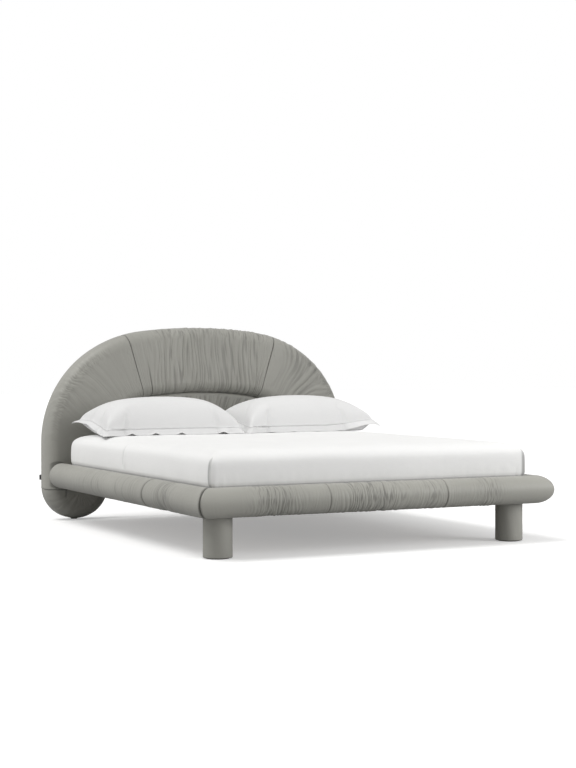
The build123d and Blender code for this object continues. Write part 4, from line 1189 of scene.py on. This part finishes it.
def pillowcase_finish(colors):
    """The pillowcases' percale, with the line of stitches inside the flange."""
    pattern = cotton_finish("pillowcase_cotton", colors.pillowcase, 260.0)
    stitch = pattern.span(pattern.attribute("stitch"), 0.55, 0.95)
    dashes = pattern.span(pattern.noise(240.0, 1.0), 0.42, 0.5)
    seam = pattern.math("MULTIPLY", pattern.math("MULTIPLY", stitch, dashes), 0.15)
    before = pattern.shader.inputs["Base Color"].links[0].from_socket
    pattern.color(pattern.blend(seam, before, shade(colors.pillowcase, 0.8)))
    return pattern.material


def ticking_finish(name, colors):
    """Quilted knit ticking."""
    pattern = Pattern(name, Specular_IOR_Level=0.15, Sheen_Weight=0.2)
    rib = pattern.bands(90.0, "Y", distortion=0.4)
    diamonds = pattern.math("MULTIPLY", pattern.bands(4.2, "DIAGONAL"), pattern.bands(4.2, "X"))
    base = colors.ticking
    tint = pattern.blend(pattern.math("MULTIPLY", rib, 0.3), shade(base, 1.0), shade(base, 0.88))
    clouds = pattern.span(pattern.noise(6.0), 0.3, 0.8, 0, 0.4)
    pattern.color(pattern.blend(clouds, tint, shade(base, 0.94)))
    pattern.rough(pattern.span(pattern.noise(200.0), 0.3, 0.7, 0.75, 0.9))
    quilt = pattern.relief(diamonds, 0.004, 0.6)
    pattern.relief(pattern.math("ADD", rib, pattern.noise(700.0)), 0.0004, 0.4, quilt)
    return pattern.material


def plywood_finish(colors):
    """Birch plywood with long grain and darker edge fibres."""
    pattern = Pattern("board", Specular_IOR_Level=0.3)
    grain = pattern.noise(1.0, 6.0, pattern.stretched((3, 3, 90)), 0.6)
    fibre = pattern.noise(1.0, 3.0, pattern.stretched((25, 25, 600)), 0.6)
    base = colors.plywood
    mixed = pattern.blend(pattern.span(grain, 0.3, 0.7), shade(base, 0.82), shade(base, 1.12))
    pattern.color(pattern.blend(pattern.span(fibre, 0.45, 0.75, 0, 0.5), mixed, shade(base, 0.62)))
    pattern.rough(pattern.span(grain, 0.3, 0.7, 0.55, 0.72))
    pattern.relief(fibre, 0.0006, 0.4)
    return pattern.material


def slat_finish(colors):
    """Laminated birch slats with grain along their length."""
    pattern = Pattern("slat_wood", Specular_IOR_Level=0.35, Coat_Weight=0.08, Coat_Roughness=0.35)
    grain = pattern.noise(1.0, 6.0, pattern.stretched((2.0, 55, 60)), 0.6)
    pores = pattern.noise(1.0, 3.0, pattern.stretched((30, 900, 900)), 0.6)
    tone = pattern.noise(1.0, 1.0, pattern.stretched((0.4, 7.1, 2.0)))
    board = pattern.blend(pattern.span(tone, 0.35, 0.65), shade(colors.slat, 0.9), shade(colors.slat, 1.08))
    streak = pattern.blend(pattern.span(grain, 0.42, 0.72, 0, 0.6), board, shade(colors.slat, 0.72))
    pattern.color(pattern.blend(pattern.span(pores, 0.6, 0.8, 0, 0.4), streak, shade(colors.slat, 0.5)))
    pattern.rough(pattern.span(grain, 0.3, 0.7, 0.42, 0.58))
    pattern.relief(pores, 0.0003, 0.4)
    return pattern.material


def lining_finish(colors):
    """Black non-woven cloth with pressed dots."""
    pattern = Pattern("back_lining", Specular_IOR_Level=0.1, Sheen_Weight=0.15)
    dots = pattern.span(pattern.cells(420.0), 0.25, 0.4)
    fibre = pattern.noise(1600.0, 4.0)
    pattern.color(pattern.blend(dots, shade(colors.lining, 0.6), shade(colors.lining, 1.3)))
    pattern.rough(pattern.span(fibre, 0.3, 0.7, 0.82, 0.96))
    pattern.relief(pattern.math("ADD", dots, fibre), 0.0004, 0.6)
    return pattern.material


def powder_coat_finish(colors):
    """Black powder-coated steel with its fine orange-peel skin."""
    pattern = Pattern("black_steel", Metallic=0.0, Specular_IOR_Level=0.5)
    speck = pattern.noise(900.0, 3.0)
    rubbed = pattern.span(pattern.noise(22.0, 5.0), 0.62, 0.8, 0, 0.5)
    pattern.color(pattern.blend(rubbed, shade(colors.steel, 1.0), shade(colors.steel, 2.2)))
    pattern.rough(pattern.span(speck, 0.3, 0.7, 0.36, 0.52))
    pattern.relief(pattern.noise(700.0, 2.0), 0.0003, 0.35)
    return pattern.material


def zinc_finish(colors):
    """Zinc-plated steel, slightly clouded."""
    pattern = Pattern("zinc_steel", Metallic=1.0)
    clouds = pattern.noise(140.0, 5.0)
    dull, bright = (0.42, 0.43, 0.45, 1), (0.62, 0.62, 0.60, 1)
    pattern.color(pattern.blend(pattern.span(clouds, 0.3, 0.7), dull, bright))
    pattern.rough(pattern.span(clouds, 0.3, 0.7, 0.26, 0.42))
    pattern.relief(pattern.noise(1.0, 2.0, pattern.stretched((300, 300, 1800))), 0.0001, 0.3)
    return pattern.material


def moulded_finish(name, color, roughness, scale):
    """Moulded plastic or rubber with a spark-eroded skin."""
    pattern = Pattern(name, Specular_IOR_Level=0.4)
    skin = pattern.cells(scale)
    scuffed = pattern.span(pattern.noise(40.0, 4.0), 0.4, 0.8)
    pattern.color(pattern.blend(scuffed, shade(color, 1.0), shade(color, 1.7)))
    pattern.rough(pattern.span(skin, 0.0, 0.7, roughness - 0.08, roughness + 0.08))
    pattern.relief(skin, 0.0002, 0.5)
    return pattern.material


FINISHES = {
    "leather": leather_finish,
    "board": plywood_finish,
    "slat_wood": slat_finish,
    "back_lining": lining_finish,
    "black_steel": powder_coat_finish,
    "zinc_steel": zinc_finish,
    "black_plastic": lambda colors: moulded_finish("black_plastic", (0.022, 0.022, 0.023), 0.48, 1400.0),
    "black_rubber": lambda colors: moulded_finish("black_rubber", (0.018, 0.018, 0.018), 0.74, 700.0),
    "ticking": lambda colors: ticking_finish("ticking", colors),
    "sheet_cotton": sheet_finish,
    "pillow_ticking": lambda colors: ticking_finish("pillow_ticking", colors),
    "pillowcase_cotton": pillowcase_finish,
}
made_finishes = {}


def finish(slot):
    """The material of one of the record's slots, made once."""
    if slot not in made_finishes:
        made_finishes[slot] = FINISHES[slot](bpy.context.scene.bed_colors)
    return made_finishes[slot]


# Operators
class BED_OT_stage(bpy.types.Operator):
    """Set up the floor, lights, background and camera"""

    bl_idname = "bed.stage"
    bl_label = "Studio"

    def execute(self, context):
        scene = context.scene
        scene.view_settings.view_transform = "Standard"
        scene.camera = make_camera()
        make_world()
        make_floor()
        for light in LIGHTS:
            make_light(*light)
        for window in WINDOWS:
            make_window(*window)
        return {"FINISHED"}


def make_camera():
    """The camera at the photograph's viewpoint."""
    lens = bpy.data.cameras.new("camera")
    lens.sensor_fit = "VERTICAL"
    lens.sensor_height = CAMERA_SENSOR
    lens.lens = CAMERA_LENS
    lens.clip_end = 100
    camera = add_object("camera", lens)
    camera.location = CAMERA_PLACE
    camera.rotation_euler = Euler((math.radians(90 - CAMERA_DIP), 0, math.radians(-CAMERA_TURN)))
    return camera


def wired(tree, kind, *sources):
    """Adds a node and feeds its inputs, in order, from the sockets and values given."""
    node = tree.nodes.new(kind)
    for socket, source in zip(node.inputs, sources):
        if isinstance(source, bpy.types.NodeSocket):
            tree.links.new(source, socket)
        else:
            socket.default_value = source
    return node


def make_world():
    """White to the camera, and a plain soft level for the light."""
    world = bpy.data.worlds.new("studio")
    bpy.context.scene.world = world
    world.use_nodes = True
    tree = world.node_tree
    tree.nodes.clear()
    path = tree.nodes.new("ShaderNodeLightPath")
    seen = wired(tree, "ShaderNodeMath", path.outputs["Is Camera Ray"], path.outputs["Is Transmission Ray"])
    seen.operation = "MAXIMUM"
    soft = wired(tree, "ShaderNodeBackground", (1.0, 0.995, 0.985, 1), WORLD_LEVEL)
    white = wired(tree, "ShaderNodeBackground", (1, 1, 1, 1), 1.0)
    mix = wired(tree, "ShaderNodeMixShader", seen.outputs[0], soft.outputs[0], white.outputs[0])
    wired(tree, "ShaderNodeOutputWorld", mix.outputs[0])


def make_floor():
    """A pale floor that keeps the bed's soft shadow."""
    bpy.ops.object.select_all(action="DESELECT")
    bpy.ops.mesh.primitive_plane_add(size=80, location=(0, 0, 0))
    floor = bpy.context.object
    floor.name = "floor"
    material = bpy.data.materials.new("floor")
    material.use_nodes = True
    tree = material.node_tree
    tree.nodes.clear()
    seen = tree.nodes.new("ShaderNodeLightPath").outputs["Is Camera Ray"]
    tint = wired(tree, "ShaderNodeMapRange", seen)
    tint.inputs["To Min"].default_value = FLOOR_BOUNCE
    tint.inputs["To Max"].default_value = FLOOR_SHADE
    level = wired(tree, "ShaderNodeMath", seen, FLOOR_GLOW)
    level.operation = "MULTIPLY"
    cover = wired(tree, "ShaderNodeBsdfDiffuse", tint.outputs[0])
    glow = tree.nodes.new("ShaderNodeEmission")
    tree.links.new(level.outputs[0], glow.inputs["Strength"])
    both = wired(tree, "ShaderNodeAddShader", cover.outputs[0], glow.outputs[0])
    wired(tree, "ShaderNodeOutputMaterial", both.outputs[0])
    floor.data.materials.append(material)


def make_light(name, source, strength, spread, color):
    """A wide soft light from one direction, the same everywhere on the floor."""
    lamp = bpy.data.lights.new(name, "SUN")
    lamp.energy = strength
    lamp.angle = math.radians(spread)
    lamp.color = color
    light = add_object(name, lamp)
    light.rotation_euler = (-Vector(source)).to_track_quat("-Z", "Y").to_euler()


def make_window(name, place, faced, size, power):
    """A wide soft light near the bed, out of the picture."""
    lamp = bpy.data.lights.new(name, "AREA")
    lamp.size = size
    lamp.energy = power
    light = add_object(name, lamp)
    light.location = place
    light.rotation_euler = (Vector(faced) - Vector(place)).to_track_quat("-Z", "Y").to_euler()
    light.visible_camera = False


class BED_OT_headboard(bpy.types.Operator):
    """Make the headboard's gathered leather pads"""

    bl_idname = "bed.headboard"
    bl_label = "Headboard pads"

    def execute(self, context):
        sizes = context.scene.bed_headboard
        outline = Outline(sizes)
        seam = outline.seam
        piece = band_pad("arch_cover_center", outline, (-seam, seam), center_relief(sizes, seam))
        finish_pad(piece, "arch_pad_center")
        for name, side in SIDES:
            relief = side_relief(sizes, outline, 31 + side, SIDE_PULL[name])
            piece = band_pad("arch_cover_" + name, outline, (side * seam, side * outline.end), relief)
            finish_pad(piece, "arch_pad_" + name)
            finish_pad(lobe_pad("lobe_pad_" + name, outline, side), "lobe_pad_" + name)
        finish_pad(recessed_pad(outline), "inner_pad")
        return {"FINISHED"}


def finish_pad(piece, node):
    dress(piece, "leather", "bedstead", node)


class BED_OT_rails(bpy.types.Operator):
    """Make the rails' padded rolls"""

    bl_idname = "bed.rails"
    bl_label = "Rail rolls"

    def execute(self, context):
        sizes = context.scene.bed_rails
        for name, side in SIDES:
            finish_pad(side_roll("side_roll_" + name, side, sizes), "side_roll_" + name)
        finish_pad(foot_roll(sizes), "foot_roll")
        return {"FINISHED"}


class BED_OT_legs(bpy.types.Operator):
    """Make the leather sleeves of the drum legs"""

    bl_idname = "bed.legs"
    bl_label = "Leg sleeves"

    def execute(self, context):
        for name, side in SIDES:
            dress(leg_sleeve("leg_sleeve_" + name, side), "leather", "bedstead", "leg_sleeve_" + name)
        return {"FINISHED"}


class BED_OT_mattress(bpy.types.Operator):
    """Make the mattress and its sheet"""

    bl_idname = "bed.mattress"
    bl_label = "Mattress and sheet"

    def execute(self, context):
        sizes = context.scene.bed_bedding
        body = bedding_shell("mattress_body", sizes, 0.004, 0, True, mattress_relief)
        tidy(body)
        dress(body, "ticking", "mattress", "mattress")
        cover = bedding_shell("sheet_cover", sizes, 0.0, sizes.sheet_tuck, False, sheet_relief)
        tidy(cover, outward=False)
        wall = cover.modifiers.new("Thickness", "SOLIDIFY")
        wall.thickness = sizes.sheet_thickness
        wall.offset = -1
        apply_modifiers(cover)
        cover.data.shade_smooth()
        dress(cover, "sheet_cotton", "mattress", "sheet")
        return {"FINISHED"}


class BED_OT_pillows(bpy.types.Operator):
    """Fill the two pillows in their flanged cases"""

    bl_idname = "bed.pillows"
    bl_label = "Pillows"

    def execute(self, context):
        sizes = context.scene.bed_bedding
        for (name, side), seed in zip(SIDES, (5, 23)):
            low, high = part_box("pillowcase_" + name)
            shift = LEFT_PILLOW_SHIFT if side < 0 else 0
            center = ((low.x + high.x) / 2 + shift, (low.y + high.y) / 2)
            piece = make_pillow("pillow_cover_" + name, center, side, sizes, seed)
            dress(piece, "pillowcase_cotton", "pillow_" + name, "pillow_" + name, "pillowcase_" + name)
        return {"FINISHED"}


class BED_OT_finishes(bpy.types.Operator):
    """Give the frame's own pieces their finishes"""

    bl_idname = "bed.finishes"
    bl_label = "Frame finishes"

    def execute(self, context):
        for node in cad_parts.values():
            slot = node.data.materials[0].name.split(".")[0]
            if slot not in FINISHES:
                raise RuntimeError("no finish for " + slot)
            node.data.materials[0] = finish(slot)
        return {"FINISHED"}


class BED_PT_sidebar(bpy.types.Panel):
    """Lists the bed's operators, sizes and colours"""

    bl_label = "Bed"
    bl_idname = "BED_PT_sidebar"
    bl_space_type = "VIEW_3D"
    bl_region_type = "UI"
    bl_category = "Bed"

    def draw(self, context):
        for operator in OPERATORS:
            self.layout.operator(operator.bl_idname)
        for settings in SETTINGS:
            group = getattr(context.scene, settings)
            box = self.layout.box()
            for key in group.bl_rna.properties.keys():
                if key not in ("rna_type", "name"):
                    box.prop(group, key)


SETTINGS = {
    "bed_headboard": BedHeadboardSizes,
    "bed_rails": BedRailSizes,
    "bed_bedding": BedBeddingSizes,
    "bed_colors": BedColors,
}
OPERATORS = (
    BED_OT_stage,
    BED_OT_finishes,
    BED_OT_headboard,
    BED_OT_rails,
    BED_OT_legs,
    BED_OT_mattress,
    BED_OT_pillows,
)


def register():
    for group in SETTINGS.values():
        bpy.utils.register_class(group)
    for name, group in SETTINGS.items():
        setattr(bpy.types.Scene, name, PointerProperty(type=group))
    for operator in OPERATORS:
        bpy.utils.register_class(operator)
    bpy.utils.register_class(BED_PT_sidebar)


def unregister():
    bpy.utils.unregister_class(BED_PT_sidebar)
    for operator in reversed(OPERATORS):
        bpy.utils.unregister_class(operator)
    for name in SETTINGS:
        delattr(bpy.types.Scene, name)
    for group in SETTINGS.values():
        bpy.utils.unregister_class(group)


def main():
    """Makes every piece."""
    register()
    bpy.ops.bed.stage()
    bpy.ops.bed.finishes()
    bpy.ops.bed.headboard()
    bpy.ops.bed.rails()
    bpy.ops.bed.legs()
    bpy.ops.bed.mattress()
    bpy.ops.bed.pillows()


if __name__ == "__main__":
    main()
